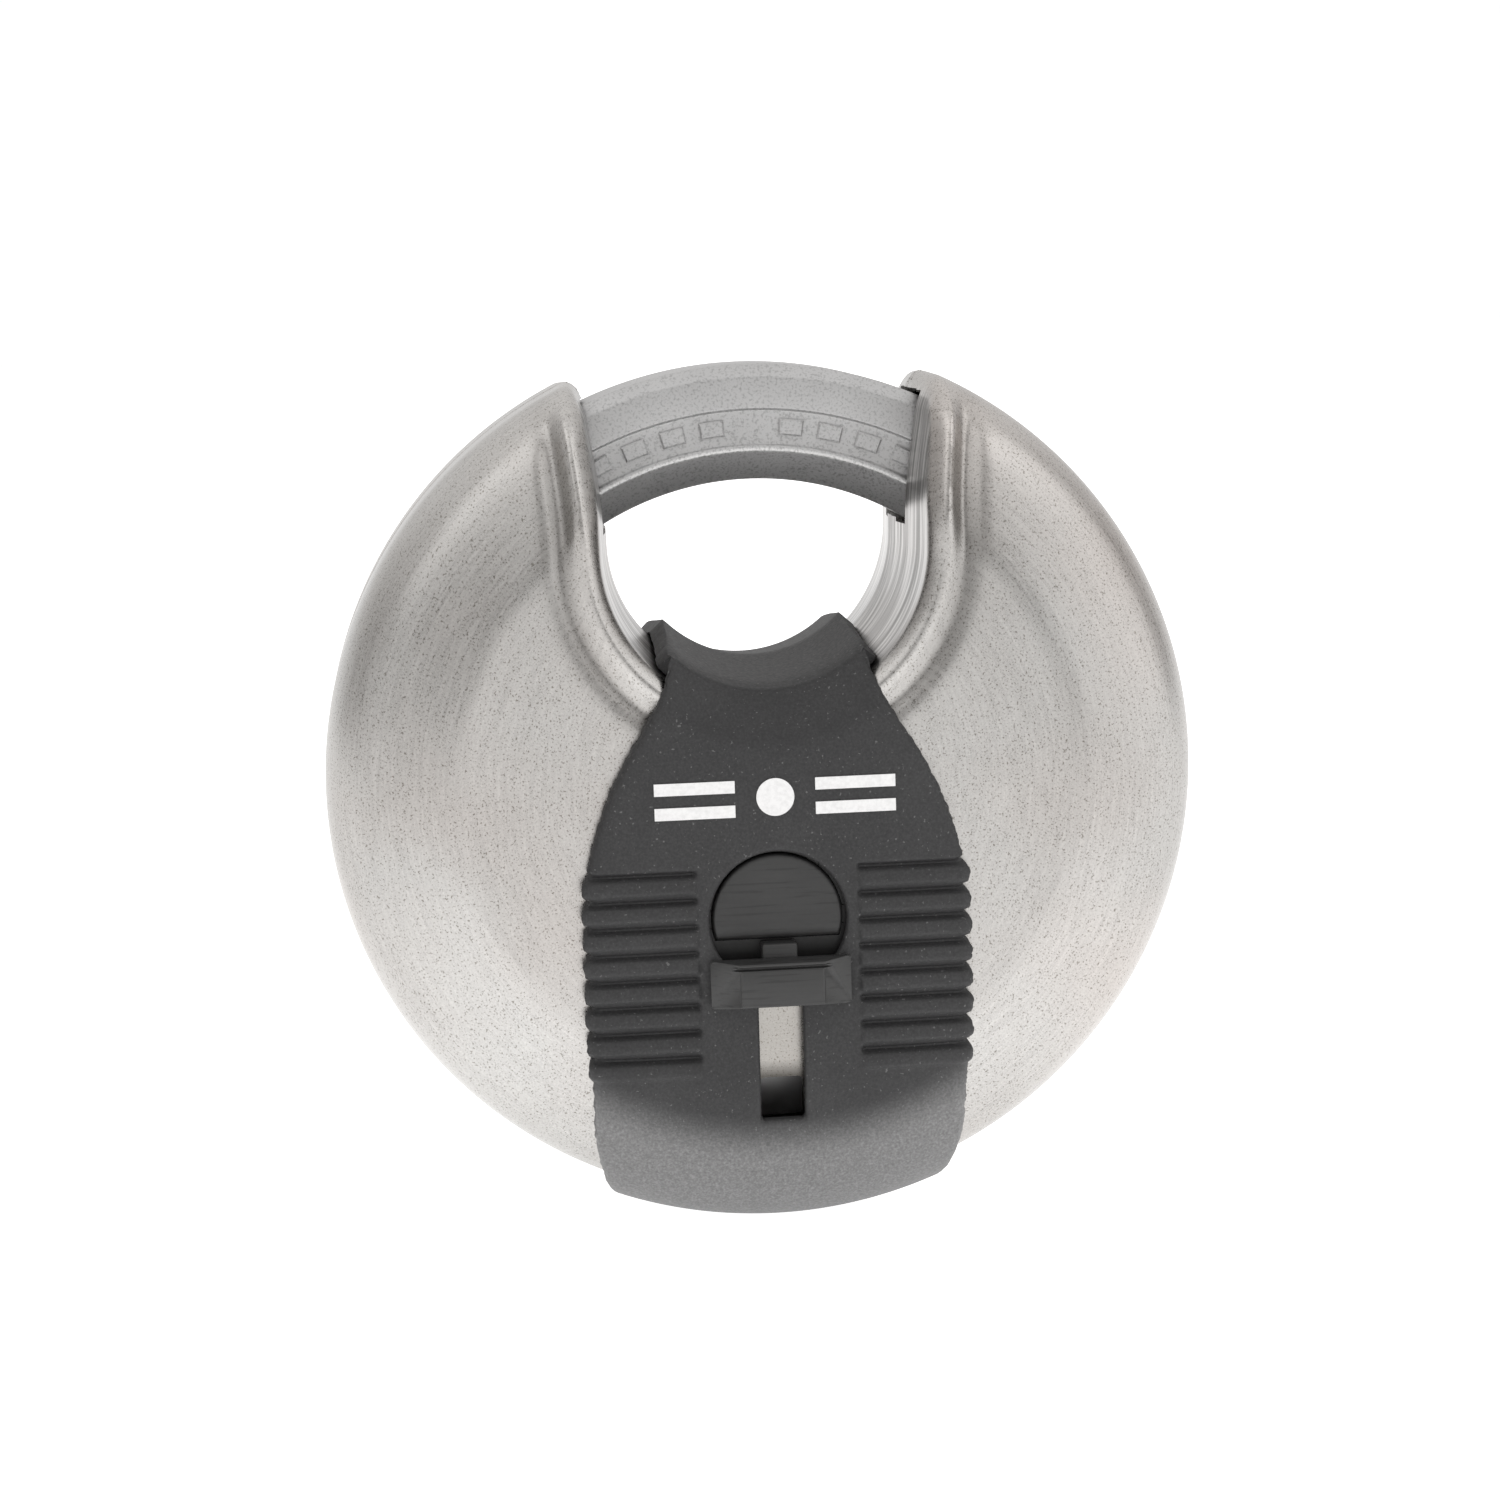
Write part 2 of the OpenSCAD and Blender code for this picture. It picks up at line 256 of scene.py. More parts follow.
# Rows of points beside the throat, close together where the edge rounds and the bead rises.
EDGE_ROWS = (0.05, 0.14, 0.27, 0.44, 0.65, 0.9, 1.15, 1.4, 1.7, 2.0, 2.3, 2.6, 2.9, 3.2, 3.55, 3.9, 4.3, 4.8,
             5.4, 6.1, 7.0)

# The case's section from the middle of the face to the joint, as (radius, depth).
OUTER = chaikin([(0, 15), (26, 15), (28.1, 15), (29.5, 14.74), (33, 13.66), (36.0, 12.55), (37.6, 11.5),
                 (38.8, 10.1), (39.6, 8.4), (40, 6.4), (40, 4), (40, 0.9)], 3)
OUTER = np.vstack([OUTER[:-1], [(40, 0.5), (39.93, 0.28), (39.75, 0.1), (39.6, 0.0)]])
RHO = np.concatenate([[0], np.cumsum(np.hypot(*np.diff(OUTER, axis=0).T))])
RHO_END = RHO[-1]


def profile_at(rho):
    return np.interp(rho, RHO, OUTER[:, 0]), np.interp(rho, RHO, OUTER[:, 1])


def profile_normal(rho):
    r0, y0 = profile_at(np.maximum(rho - 0.05, 0))
    r1, y1 = profile_at(np.minimum(rho + 0.05, RHO_END))
    d = np.hypot(r1 - r0, y1 - y0) + 1e-9
    return -(y1 - y0) / d, (r1 - r0) / d


def throat_half_width(z, y):
    """A round floor, with horns that spread slowly above it and faster near their tips."""
    t = np.maximum(z - THROAT_Z, 0)
    rad = THROAT_R + FLARE * np.abs(y) / FACE_Y
    low = np.sqrt(np.maximum(rad**2 - np.minimum(z - THROAT_Z, 0) ** 2, 0))
    return np.where(z < THROAT_Z, low, rad + 1.3 * (t / 11.3) ** 1.7 + 0.12 * np.maximum(t - 12, 0) ** 1.5)


def throat_edge():
    """Right half of the edge where the outer face meets the throat, as (rho, theta)."""
    edge = []
    rad = THROAT_R + FLARE
    for a in np.linspace(-90, -4, 62):
        x, z = rad * math.cos(math.radians(a)), THROAT_Z + rad * math.sin(math.radians(a))
        edge.append((math.hypot(x, z), math.atan2(z, x)))
    for rho in np.concatenate([np.arange(26.2, RHO_END - 0.35, 0.36), [RHO_END]]):
        r, y = profile_at(rho)
        z = r * 0.9
        for _ in range(60):
            x = throat_half_width(z, y)
            z = 0.5 * z + 0.5 * math.sqrt(max(r * r - x * x, 0.01))
        if rho > edge[-1][0] + 0.2:
            edge.append((rho, math.atan2(z, x)))
    return np.array(edge)


def throat_outline():
    """The whole edge from the right horn over the floor to the left, and its normals into the steel."""
    right = throat_edge()
    rho = np.concatenate([right[::-1, 0], right[1:, 0]])
    theta = np.concatenate([right[::-1, 1], math.pi - right[1:, 1]])
    edge = np.stack([rho * np.cos(theta), rho * np.sin(theta)], 1)
    away = side_normals(np.gradient(edge, axis=0))
    if away[len(edge) // 2][1] > 0:
        away = -away
    return edge, away


def inside_throat(p):
    ang, rad = np.arctan2(p[:, 1], p[:, 0]), np.hypot(*p.T)
    r, y = profile_at(rad)
    return np.abs(r * np.cos(ang)) < throat_half_width(r * np.sin(ang), y) - 1e-6


def face_holes():
    """Keyway opening and drain slot of the front face, as closed loops."""
    turn = np.linspace(0, 2 * math.pi, 97)[:-1]
    keyway = np.stack([KEYWAY_R * np.cos(turn), PLUG_Z + KEYWAY_R * np.sin(turn)], 1)
    x, top, foot = DRAIN_HALF, DRAIN_TOP, DRAIN_FOOT
    drain = [(x, z) for z in np.arange(foot + 0.5, top - 0.45, 0.3)] + [(x - 0.15, top - 0.15)]
    drain += [(q, top) for q in np.arange(x - 0.5, -x + 0.45, -0.3)] + [(0.15 - x, top - 0.15)]
    drain += [(-x, z) for z in np.arange(top - 0.5, foot + 0.45, -0.3)] + [(0.15 - x, foot + 0.15)]
    drain += [(q, foot) for q in np.arange(0.5 - x, x - 0.45, 0.3)] + [(x - 0.15, foot + 0.15)]
    return [keyway, np.array(drain)]


def face_points(edge, away):
    """Rows that follow the throat's edge, and rings round the middle for the rest of the face."""
    rows = []
    for off in EDGE_ROWS:
        row = edge + away * off
        keep = np.hypot(*row.T) < RHO_END - 0.25
        keep &= np.abs(polyline_distance(row, edge, closed=False) - off) < 0.04 + 0.02 * off
        rows.append(row[keep])
    rings = [np.zeros((1, 2))]
    flat_end = 26
    radii = np.concatenate([np.arange(1.2, flat_end, 1.2), np.arange(26.4, RHO_END - 0.2, 0.5)])
    for k, rad in enumerate(radii):
        count = max(8, int(2 * math.pi * rad / (1.25 if rad < flat_end else 0.75)))
        ang = 2 * math.pi * (np.arange(count) + 0.5 * (k % 2)) / count
        rings.append(np.stack([rad * np.cos(ang), rad * np.sin(ang)], 1))
    rings = np.vstack(rings)
    clear = polyline_distance(rings, edge, closed=False) > EDGE_ROWS[-1] + 0.35
    return rows, rings[clear & ~inside_throat(rings)]


def flat_face(edge, away, holes):
    """One face laid out flat, with its holes left open."""
    first, last = math.atan2(edge[0, 1], edge[0, 0]), math.atan2(edge[-1, 1], edge[-1, 0])
    ang = np.linspace(last, first + 2 * math.pi, RIM_POINTS)[1:-1]
    border = np.vstack([edge, np.stack([RHO_END * np.cos(ang), RHO_END * np.sin(ang)], 1)])
    rows, rings = face_points(edge, away)
    kept_edges = []
    start = len(border) + sum(len(row) for row in rows)
    for hole in holes:
        rings = rings[polyline_distance(rings, hole) > 0.3]
        kept_edges += loop_edges(start, len(hole))
        start += len(hole)
    flat, faces = triangulate(np.vstack([border] + rows + holes + [rings]), kept_edges, len(border), 1e-4)
    for hole in holes:
        in_hole = inside_loop(np.array([flat[f].mean(0) for f in faces]), hole)
        faces = [f for f, gone in zip(faces, in_hole) if not gone]
    return flat, faces


def pressed_face(flat, dist):
    """Bends the flat points to the case's section, with a bead and a valley along the throat."""
    rad, ang = np.hypot(*flat.T), np.arctan2(flat[:, 1], flat[:, 0])
    r, y = profile_at(rad)
    nr, ny = profile_normal(rad)
    horn = step(24.5, 31, rad) * (1 - step(34.5, 41, rad))
    tip = 1 - step(36, 42, rad)
    bead = (0.46 * tip + 0.46 * horn) * hump(dist, 1.55, 0.8)
    valley = (0.50 * tip + 0.36 * horn) * hump(dist, 3.5, 0.95)
    drop = np.where(dist < EDGE_R, EDGE_R - np.sqrt(np.maximum(EDGE_R**2 - (EDGE_R - dist) ** 2, 0)), 0)
    lift = bead - valley - drop
    r, y = r + nr * lift, np.maximum(y + ny * lift, 0)
    y = np.where(rad > RHO_END - 1e-4, 0, y)
    return np.stack([r * np.cos(ang), -y, r * np.sin(ang)], 1)


def wall_point(edge_point, j):
    """Row j of the throat wall behind a point of the rounded edge. The last row is the joint."""
    x, y, z = edge_point
    depth = -y
    if depth <= TRACK_Y + 0.3:
        at = depth * (WALL_ROWS - j) / WALL_ROWS
    elif j <= ROWS_TO_TRACK:
        at = depth + (TRACK_Y - depth) * j / ROWS_TO_TRACK
    else:
        at = TRACK_Y * (WALL_ROWS - j) / (WALL_ROWS - ROWS_TO_TRACK)
    back = 1 - at / depth if depth > 1e-6 else 1
    if z < THROAT_Z:
        phi = math.atan2(z - THROAT_Z, x)
        joint_x, joint_z = THROAT_R * math.cos(phi), THROAT_Z + THROAT_R * math.sin(phi)
    else:
        joint_x, joint_z = math.copysign(float(throat_half_width(z, 0.0)), x), z
    cx, cz = x + (joint_x - x) * back, z + (joint_z - z) * back
    nx, nz = cx, (cz - THROAT_Z) if z < THROAT_Z else 0
    groove = 0.22 * math.exp(-(at / 0.25) ** 2) / (math.hypot(nx, nz) + 1e-9)
    return cx + nx * groove, -at, cz + nz * groove


def throat_wall(face, top):
    """All points with the wall's added, and the wall's faces. The shackle's two mouths stay open."""
    points = [tuple(v) for v in face]
    rows = [top]
    for j in range(1, WALL_ROWS + 1):
        rows.append(list(range(len(points), len(points) + len(top))))
        points += [wall_point(face[k], j) for k in top]
    faces = []
    for upper, lower in zip(rows, rows[1:]):
        for k in range(len(top) - 1):
            quad = [upper[k], upper[k + 1], lower[k + 1], lower[k]]
            x, y, z = np.mean([points[v] for v in quad], 0)
            in_mouth = abs(y) < TRACK_Y and TRACK_IN < math.hypot(x, z) < TRACK_OUT
            if len(set(quad)) == 4 and not in_mouth:
                faces.append(quad)
    return points, faces


def painted_hollow_shade(dist, rad):
    """Painted shade: how much darker the steel is painted in the hollow beside the bead and under the
    rounded edge, where shade falls.
    """
    beside = 0.85 * hump(dist, 3.75, 1.15)
    beside *= 0.55 + 0.45 * step(14, 21, rad)
    beside *= 1 - 0.45 * step(29, 35, rad)
    under = 0.45 * hump(dist, 0.45, 0.35)
    return np.maximum(beside, under) * (0.35 + 0.65 * (1 - step(36, 42, rad)))


def case_half(name, node, front):
    edge, away = throat_outline()
    flat, faces = flat_face(edge, away, face_holes() if front else [])
    dist = polyline_distance(flat, edge, closed=False)
    top = [int(np.argmin(((flat - p) ** 2).sum(1))) for p in edge]
    points, wall = throat_wall(pressed_face(flat, dist), top)
    if not front:
        points = [(x, -y, z) for x, y, z in points]
    obj = new_object(name, points, faces + wall)
    # The painted shade of the hollows, stored on the points for the steel's material.
    shade = np.zeros(len(points))
    shade[:len(flat)] = painted_hollow_shade(dist, np.hypot(*flat.T))
    obj.data.attributes.new("painted_shade", "FLOAT", "POINT").data.foreach_set("value", list(shade))
    bm = bmesh.new()
    bm.from_mesh(obj.data)
    bmesh.ops.remove_doubles(bm, verts=bm.verts, dist=0.02 * MM)
    turn_outward(bm, (0, -FACE_Y if front else FACE_Y, 0))
    bm.to_mesh(obj.data)
    bm.free()
    mod = obj.modifiers.new("sheet", "SOLIDIFY")
    mod.thickness = SHEET * MM
    mod.offset = -1
    mod.use_even_offset = False
    apply_modifiers(obj)
    smooth_by_angle(obj, 38)
    hand_in(obj, "case", node)
    return obj


# ---------------------------------------------------------------- rubber jacket

RUBBER_T = 1.75
WINDOW_R = 6.2
SLOT_HALF, SLOT_FOOT = 2.0, -30.1
SADDLE_R = 12.8                # where the front panel ends at the throat
SPLIT_Z = -31.5                # the front panel ends here and the wrap begins
HEAD_Z = 2.2                   # the wrap's rows close up above this height
RIBS, RIB_TOP, RIB_PITCH, RIB_IN = 8, -6.6, 2.4, 7.2
PANEL_ROW = 0.15
SADDLE_ROWS = 40
# One rib from the gap above it to its lower lip: share of the pitch, height over the face.
RIB_SHAPE = np.array([(0, 0), (0.05, -0.14), (0.11, -0.48), (0.18, -0.56), (0.25, -0.40), (0.32, 0.00),
                      (0.40, 0.20), (0.55, 0.30), (0.76, 0.37), (0.86, 0.31), (0.94, 0.07), (1, 0)])
# Half width of the rubber down its front, as (half width, z).
TONGUE = chaikin([(8.3, 16), (8.4, 13.2), (9.6, 9.1), (11.4, 6.1), (13.3, 3.1), (15.1, -0.5), (16.4, -4.3),
                  (17.0, -6.9), (17.2, -10.5), (17.2, -20), (17.2, -31), (16.9, -34), (15.9, -38),
                  (14.7, -41), (14.5, -60)], 2)
# Its section round the rim, as (radius, depth).
JACKET = chaikin([(0, 17), (24, 17), (27.6, 17), (30.2, 16.6), (33.2, 15.75), (36.4, 14.5), (38.4, 13.2),
                  (40.0, 11.6), (41.0, 9.4), (41.4, 6.6), (41.4, 3), (41.4, -1)], 3)
JACKET_SLOPE = np.gradient(JACKET, axis=0)
JACKET_NORMALS = np.stack([-JACKET_SLOPE[:, 1], JACKET_SLOPE[:, 0]], 1)
JACKET_NORMALS /= np.hypot(*JACKET_SLOPE.T)[:, None] + 1e-9


def tongue_half_width(z):
    return np.interp(-z, -TONGUE[:, 1], TONGUE[:, 0])


def jacket_y(r):
    return np.interp(r, JACKET[:, 0], JACKET[:, 1])


def jacket_surface(x, z, sign=-1):
    """Points of the plain outer surface over (x, z)."""
    return np.stack([x, sign * jacket_y(np.hypot(x, z)), z], -1)


def jacket_normal(x, y, z):
    r, depth = np.hypot(x, z), np.abs(y)
    by_depth = np.stack([np.interp(-depth, -JACKET[:, 1], JACKET_NORMALS[:, k]) for k in (0, 1)], -1)
    by_radius = np.stack([np.interp(r, JACKET[:, 0], JACKET_NORMALS[:, k]) for k in (0, 1)], -1)
    n = np.where((depth < 13.0)[..., None], by_depth, by_radius)
    r = np.maximum(r, 1e-6)
    out = np.stack([n[..., 0] * x / r, n[..., 1] * np.sign(y), n[..., 0] * z / r], -1)
    return out / (np.linalg.norm(out, axis=-1)[..., None] + 1e-9)


def top_edge(u):
    """Point (x, z) of the panel's edge at the throat, at a share u of its half width."""
    z = 10.0
    for _ in range(12):
        x = u * min(float(tongue_half_width(z)), 9.2)
        z = THROAT_Z - math.sqrt(SADDLE_R**2 - x * x)
    return x, z


def saddle_z(x, y):
    rad = THROAT_R - 2.0 + FLARE * np.abs(y) / FACE_Y
    return THROAT_Z - np.sqrt(np.maximum(rad**2 - x**2, 0.5))


def edge_drop(margin, radius):
    """How far a rounded edge has dropped at a margin from it."""
    t = np.clip(margin / radius, 0, 1)
    return -radius * 0.9 * (1 - np.sqrt(np.maximum(1 - (1 - t) ** 2, 0)))


def flash(p):
    """How far the moulded edge wanders at a point."""
    d = noise.noise(Vector((p[0] * 0.3, p[1] * 1.3, p[2] * 1.7))) * 0.15
    return d + noise.noise(Vector((p[0] * 0.3 + 7, p[1] * 3.1, p[2] * 4.1))) * 0.08


def wander(surface, base, share):
    """Moves the rubber's long edges in or out by their flash."""
    points, plain, share = surface.reshape(-1, 3), base.reshape(-1, 3), share.reshape(-1)
    for i in np.nonzero(share > 0)[0]:
        points[i, 0] += math.copysign(1, points[i, 0]) * flash(plain[i]) * share[i]


def rib_lift(z, half, margin):
    """Height of the ribs over the face, and how far they swell past the rubber's side."""
    rows = (RIB_TOP - z) / RIB_PITCH
    share = rows - np.floor(rows)
    zone = ((rows > 0) & (rows < RIBS)).astype(float)
    tooth = step(RIB_IN - 0.15, RIB_IN + 0.3, half) * (zone * np.interp(share, *RIB_SHAPE.T))
    lobe = np.clip(np.sin(math.pi * (share - 0.12)), 0, 1) ** 0.5 - 0.35
    return tooth, 0.62 * zone * lobe * np.clip(1 - margin / 1.6, 0, 1)


def dress_face(base, ribs, hole_dist=None):
    """Outer and inner points of a stretch of the jacket, from its plain outer surface."""
    x, y, z = base[..., 0], base[..., 1], base[..., 2]
    n = jacket_normal(x, y, z)
    half = np.abs(x)
    margin = tongue_half_width(z) - half
    lift = edge_drop(margin, 1.0)
    swell = np.zeros_like(x)
    thick = np.full_like(x, RUBBER_T)
    if ribs:
        tooth, swell = rib_lift(z, half, margin)
        lift = lift + tooth
    if hole_dist is not None:
        lift = lift + edge_drop(hole_dist, 0.45)
        # Thinner behind the window, where the cover slides.
        pocket = (1 - step(8.2, 9.4, half)) * step(-32.2, -31.2, z) * (1 - step(-3.6, -2.4, z))
        thick = thick - 0.95 * pocket
    outer = base + n * lift[..., None]
    inner = base - n * thick[..., None]
    # The faces sink towards the throat.
    from_throat = np.hypot(x, z - THROAT_Z)
    sink = np.minimum(2.7 * np.clip((17.6 - from_throat) / 4.8, 0, 1.05) ** 1.7, np.abs(y)) * np.sign(y)
    outer[..., 1] -= sink
    inner[..., 1] -= np.where(np.abs(sink) > 1.0, np.sign(y) * (np.abs(sink) - 1.0) * 0.6, 0)
    outer[..., 0] += np.sign(x) * swell
    inner[..., 0] += np.sign(x) * swell * 0.8
    for surface in (outer, inner):
        wander(surface, base, np.clip(1 - margin / 0.9, 0, 1))
    return outer, inner


def window_loop():
    """The round window with the slot below it, as one closed loop."""
    open_at, corner_r = math.asin(SLOT_HALF / WINDOW_R), 0.4
    arc = np.linspace(-math.pi / 2 + open_at, 1.5 * math.pi - open_at, 110)
    window = [(WINDOW_R * math.cos(a), PLUG_Z + WINDOW_R * math.sin(a)) for a in arc]
    left = [(-SLOT_HALF, z) for z in np.arange(window[-1][1] - 0.3, SLOT_FOOT + 0.6, -0.3)]
    corner = [(corner_r - SLOT_HALF - corner_r * math.cos(a), SLOT_FOOT + corner_r - corner_r * math.sin(a))
              for a in np.linspace(0, math.pi / 2, 5)]
    foot = [(x, SLOT_FOOT) for x in np.arange(-1.3, 1.4, 0.3)]
    right = [(-x, z) for x, z in (left + corner)[::-1]]
    return np.array(window + left + corner + foot + right)


def in_window(p, grow=0.0):
    round_part = np.hypot(p[:, 0], p[:, 1] - PLUG_Z) < WINDOW_R + grow
    slot_part = (np.abs(p[:, 0]) < SLOT_HALF + grow) & (p[:, 1] < PLUG_Z) & (p[:, 1] > SLOT_FOOT - grow)
    return round_part | slot_part


def panel_row(z):
    """Places x > 0 on one row of the panel: dense over the ribs and at the side, sparse between."""
    in_ribs = RIB_TOP + 0.3 > z > RIB_TOP - RIBS * RIB_PITCH - 0.9
    sparse_row = int(round(z / PANEL_ROW)) % 3 == 0
    if not in_ribs and not sparse_row:
        return []
    side = float(tongue_half_width(z))
    xs = [side - d for d in (0.04, 0.12, 0.25, 0.42, 0.65, 0.95)]
    if in_ribs:
        xs += list(np.arange(RIB_IN + 0.5, side - 1.3, 0.9))
        xs += [RIB_IN + d for d in (-0.3, -0.15, 0, 0.15, 0.3)]
    if not in_ribs:
        xs += list(np.arange(0.25, side - 1.2, 0.5))
    elif sparse_row:
        xs += list(np.arange(0.25, RIB_IN - 0.5, 0.5))
    return [x for x in xs if math.hypot(x, z - THROAT_Z) > SADDLE_R + 0.1]


def panel_points(hole):
    """Points inside the front panel: round the window, in rows, and along the saddle."""
    away = side_normals(np.roll(hole, -1, 0) - np.roll(hole, 1, 0))
    cloud = []
    for off in (0.06, 0.16, 0.3, 0.45, 0.7):
        ring = hole + away * off
        cloud.append(ring[~in_window(ring, off * 0.8)])
    for z in np.arange(11.5, SPLIT_Z + 0.25, -PANEL_ROW):
        cloud += [np.array([[side * x, z]]) for x in panel_row(z) for side in (-1, 1)]
    ang = np.linspace(-math.pi / 2 - 0.7, -math.pi / 2 + 0.7, 90)
    for d in (0.08, 0.2, 0.4, 0.65, 0.95, 1.3, 1.7, 2.2, 2.8):
        ring = np.stack([(SADDLE_R + d) * np.cos(ang), THROAT_Z + (SADDLE_R + d) * np.sin(ang)], 1)
        cloud.append(ring[np.abs(ring[:, 0]) < tongue_half_width(ring[:, 1]) - 0.1])
    cloud = np.vstack(cloud)
    return cloud[(~in_window(cloud, 0.03)) & (cloud[:, 1] > SPLIT_Z + 0.08)]


def front_panel(tops, foot, hole):
    """The front panel laid out flat, with its window open."""
    side_z = np.arange(tops[-1, 1] - 0.2, SPLIT_Z + 0.1, -0.2)
    side = np.stack([tongue_half_width(side_z), side_z], 1)
    outline = np.vstack([tops, side, foot[::-1], (side * (-1, 1))[::-1]])
    points = np.vstack([outline, hole, panel_points(hole)])
    flat, faces = triangulate(points, loop_edges(len(outline), len(hole)), len(outline), 1e-4)
    gone = in_window(np.array([flat[f].mean(0) for f in faces]), -0.004)
    return flat, [f for f, out in zip(faces, gone) if not out]


def wrap_column(u):
    """One column at a share u of the half width: from the split under the rim and up the back."""
    x = u * float(tongue_half_width(SPLIT_Z))
    start_r = math.hypot(x, SPLIT_Z)
    path = [(x, -float(jacket_y(start_r)), SPLIT_Z)]
    section = [tuple(q) for q in JACKET if q[0] > start_r + 0.02 and q[1] > 0] + [(JACKET[-1, 0], 0.0)]
    for r, depth in section:
        z = -math.sqrt(r * r - x * x)
        for _ in range(6):
            z = -math.sqrt(r * r - (u * float(tongue_half_width(z))) ** 2)
        path.append((u * float(tongue_half_width(z)), -depth, z))
    path = np.array(path)
    way = np.concatenate([[0], np.cumsum(np.linalg.norm(np.diff(path, axis=0), axis=1))])
    even = np.linspace(0, way[-1], 70)
    half = np.stack([np.interp(even, way, path[:, k]) for k in range(3)], 1)
    under = np.vstack([half, half[:-1][::-1] * (1, -1, 1)])
    back_z = np.arange(SPLIT_Z + 0.5, HEAD_Z, 0.5)
    back = jacket_surface(u * tongue_half_width(back_z), back_z, 1)
    top_x, top_z = top_edge(u)
    head_z = HEAD_Z + (top_z - HEAD_Z) * np.linspace(0, 1, 26)[1:] ** 0.85
    head_x = u * tongue_half_width(head_z)
    head_x[-1] = top_x
    return np.vstack([under, back, jacket_surface(head_x, head_z, 1)])


def saddle_rows(tops, rear_y, front_y):
    """Outer and inner columns of the saddle, from the back's top edge to the front's."""
    outer, inner = [], []
    for k in range(1, SADDLE_ROWS + 1):
        t = k / (SADDLE_ROWS + 1)
        x = tops[:, 0] * (1 - 0.05 * math.sin(math.pi * t))
        y = rear_y * (1 - t) + front_y * t
        end = 0.5 * (hump(t, 0, 0.05) + hump(1 - t, 0, 0.05))
        z = saddle_z(x, y) - end * 0.5
        radial = np.stack([x, np.zeros_like(x), z - THROAT_Z], 1)
        radial /= np.linalg.norm(radial, axis=1)[:, None]
        margin = np.abs(tops[-1, 0]) - np.abs(x)
        row = np.stack([x, y, z], 1)
        wander(row, row.copy(), np.clip(1 - margin / 0.9, 0, 1))
        outer.append(row - radial * edge_drop(margin, 0.8)[:, None])
        inner.append(row + radial * RUBBER_T)
    return np.array(outer).transpose(1, 0, 2), np.array(inner).transpose(1, 0, 2)


def jacket():
    across = -np.cos(np.linspace(0, math.pi, 90))
    across = np.sign(across) * np.abs(across) ** 0.92
    tops = np.array([top_edge(u) for u in across])
    foot = np.stack([across * float(tongue_half_width(SPLIT_Z)), np.full(len(across), SPLIT_Z)], 1)
    hole = window_loop()
    flat, faces = front_panel(tops, foot, hole)
    panel_out, panel_in = dress_face(jacket_surface(*flat.T), True, polyline_distance(flat, hole))
    wrap_out, wrap_in = dress_face(np.array([wrap_column(u) for u in across]), False)
    tops_out, _ = dress_face(jacket_surface(*tops.T), True, np.full(len(tops), 9.0))
    saddle_out, saddle_in = saddle_rows(tops, wrap_out[:, -1, 1], tops_out[:, 1])
    grid_out = np.concatenate([wrap_out, saddle_out], 1)
    grid_in = np.concatenate([wrap_in, saddle_in], 1)

    # The grid's first row falls on the panel's foot, and its last joins the panel's top edge.
    columns, rows = grid_out.shape[:2]
    start = len(flat)
    place = {(round(p[0], 3), round(p[1], 3)): i for i, p in enumerate(flat)}
    top_ids = [place[(round(x, 3), round(z, 3))] for x, z in tops]
    foot_ids = [place[(round(x, 3), round(z, 3))] for x, z in foot]
    grid = []
    for i in range(columns):
        first = start + i * rows
        grid.append([foot_ids[i]] + list(range(first + 1, first + rows)) + [top_ids[i]])
    for here, beside in zip(grid, grid[1:]):
        for j in range(rows - 1):
            faces.append([here[j], here[j + 1], beside[j + 1], beside[j]])
    for here, beside in zip(grid, grid[1:]):
        faces.append([here[-2], here[-1], beside[-1], beside[-2]])
    outer = np.vstack([panel_out, grid_out.reshape(-1, 3)])
    inner = np.vstack([panel_in, grid_in.reshape(-1, 3)])
    obj = closed_skin("rubber_jacket", outer, inner, faces, (0, -17, 0))
    smooth_by_angle(obj, 42)
    hand_in(obj, "case", "weather_jacket")
    return obj


# ---------------------------------------------------------------- shackle

SHACKLE_OUT, SHACKLE_IN, SHACKLE_HALF = 37.6, 27.0, 5.5
ARC_TIP, ARC_TAIL, ARC_STEPS = 130, -64, 196         # degrees, closed
PANEL_DEPTH = 0.34
BARS, BAR_FIRST, BAR_PITCH, BAR_HALF = 9, 64, 6.5, 2   # degrees, with the middle one left out
BAR_HEIGHT = 0.3


def shackle():
    """An arc of eight-sided section, with a sunken panel and a row of plain raised bars on each face."""
    o, i, h = SHACKLE_OUT, SHACKLE_IN, SHACKLE_HALF
    panel = -h + PANEL_DEPTH
    front = [(i, -h + 2.8), (i + 2.8, -h), (i + 3.2, -h), (i + 3.4, panel), (i + 6.42, panel), (i + 6.6, -h),
             (o - 1.1, -h), (o, -h + 1.1)]
    outline = rounded(front + [(r, -y) for r, y in front[::-1]], 0.28)
    n, middle = len(outline), (o + i) / 2
    verts = []
    for k in range(ARC_STEPS + 1):
        a = math.radians(ARC_TIP + (ARC_TAIL - ARC_TIP) * k / ARC_STEPS)
        shrink = 0.07 if k in (0, ARC_STEPS) else 0.0
        for r, y in outline:
            r += (middle - r) * shrink
            verts.append((r * math.cos(a), y * (1 - shrink), r * math.sin(a)))
    faces = tube_faces(ARC_STEPS + 1, n)
    faces.append(tuple(range(n)))
    faces.append(tuple(range(ARC_STEPS * n, (ARC_STEPS + 1) * n))[::-1])
    for side in (-1, 1):
        for b in range(BARS):
            if b != BARS // 2:
                add_bar(verts, faces, BAR_FIRST + b * BAR_PITCH, side)
    obj = new_object("shackle_arc", verts, faces)
    recalc(obj)
    smooth_by_angle(obj, 30)
    hand_in(obj, "shackle", "shackle")
    return obj


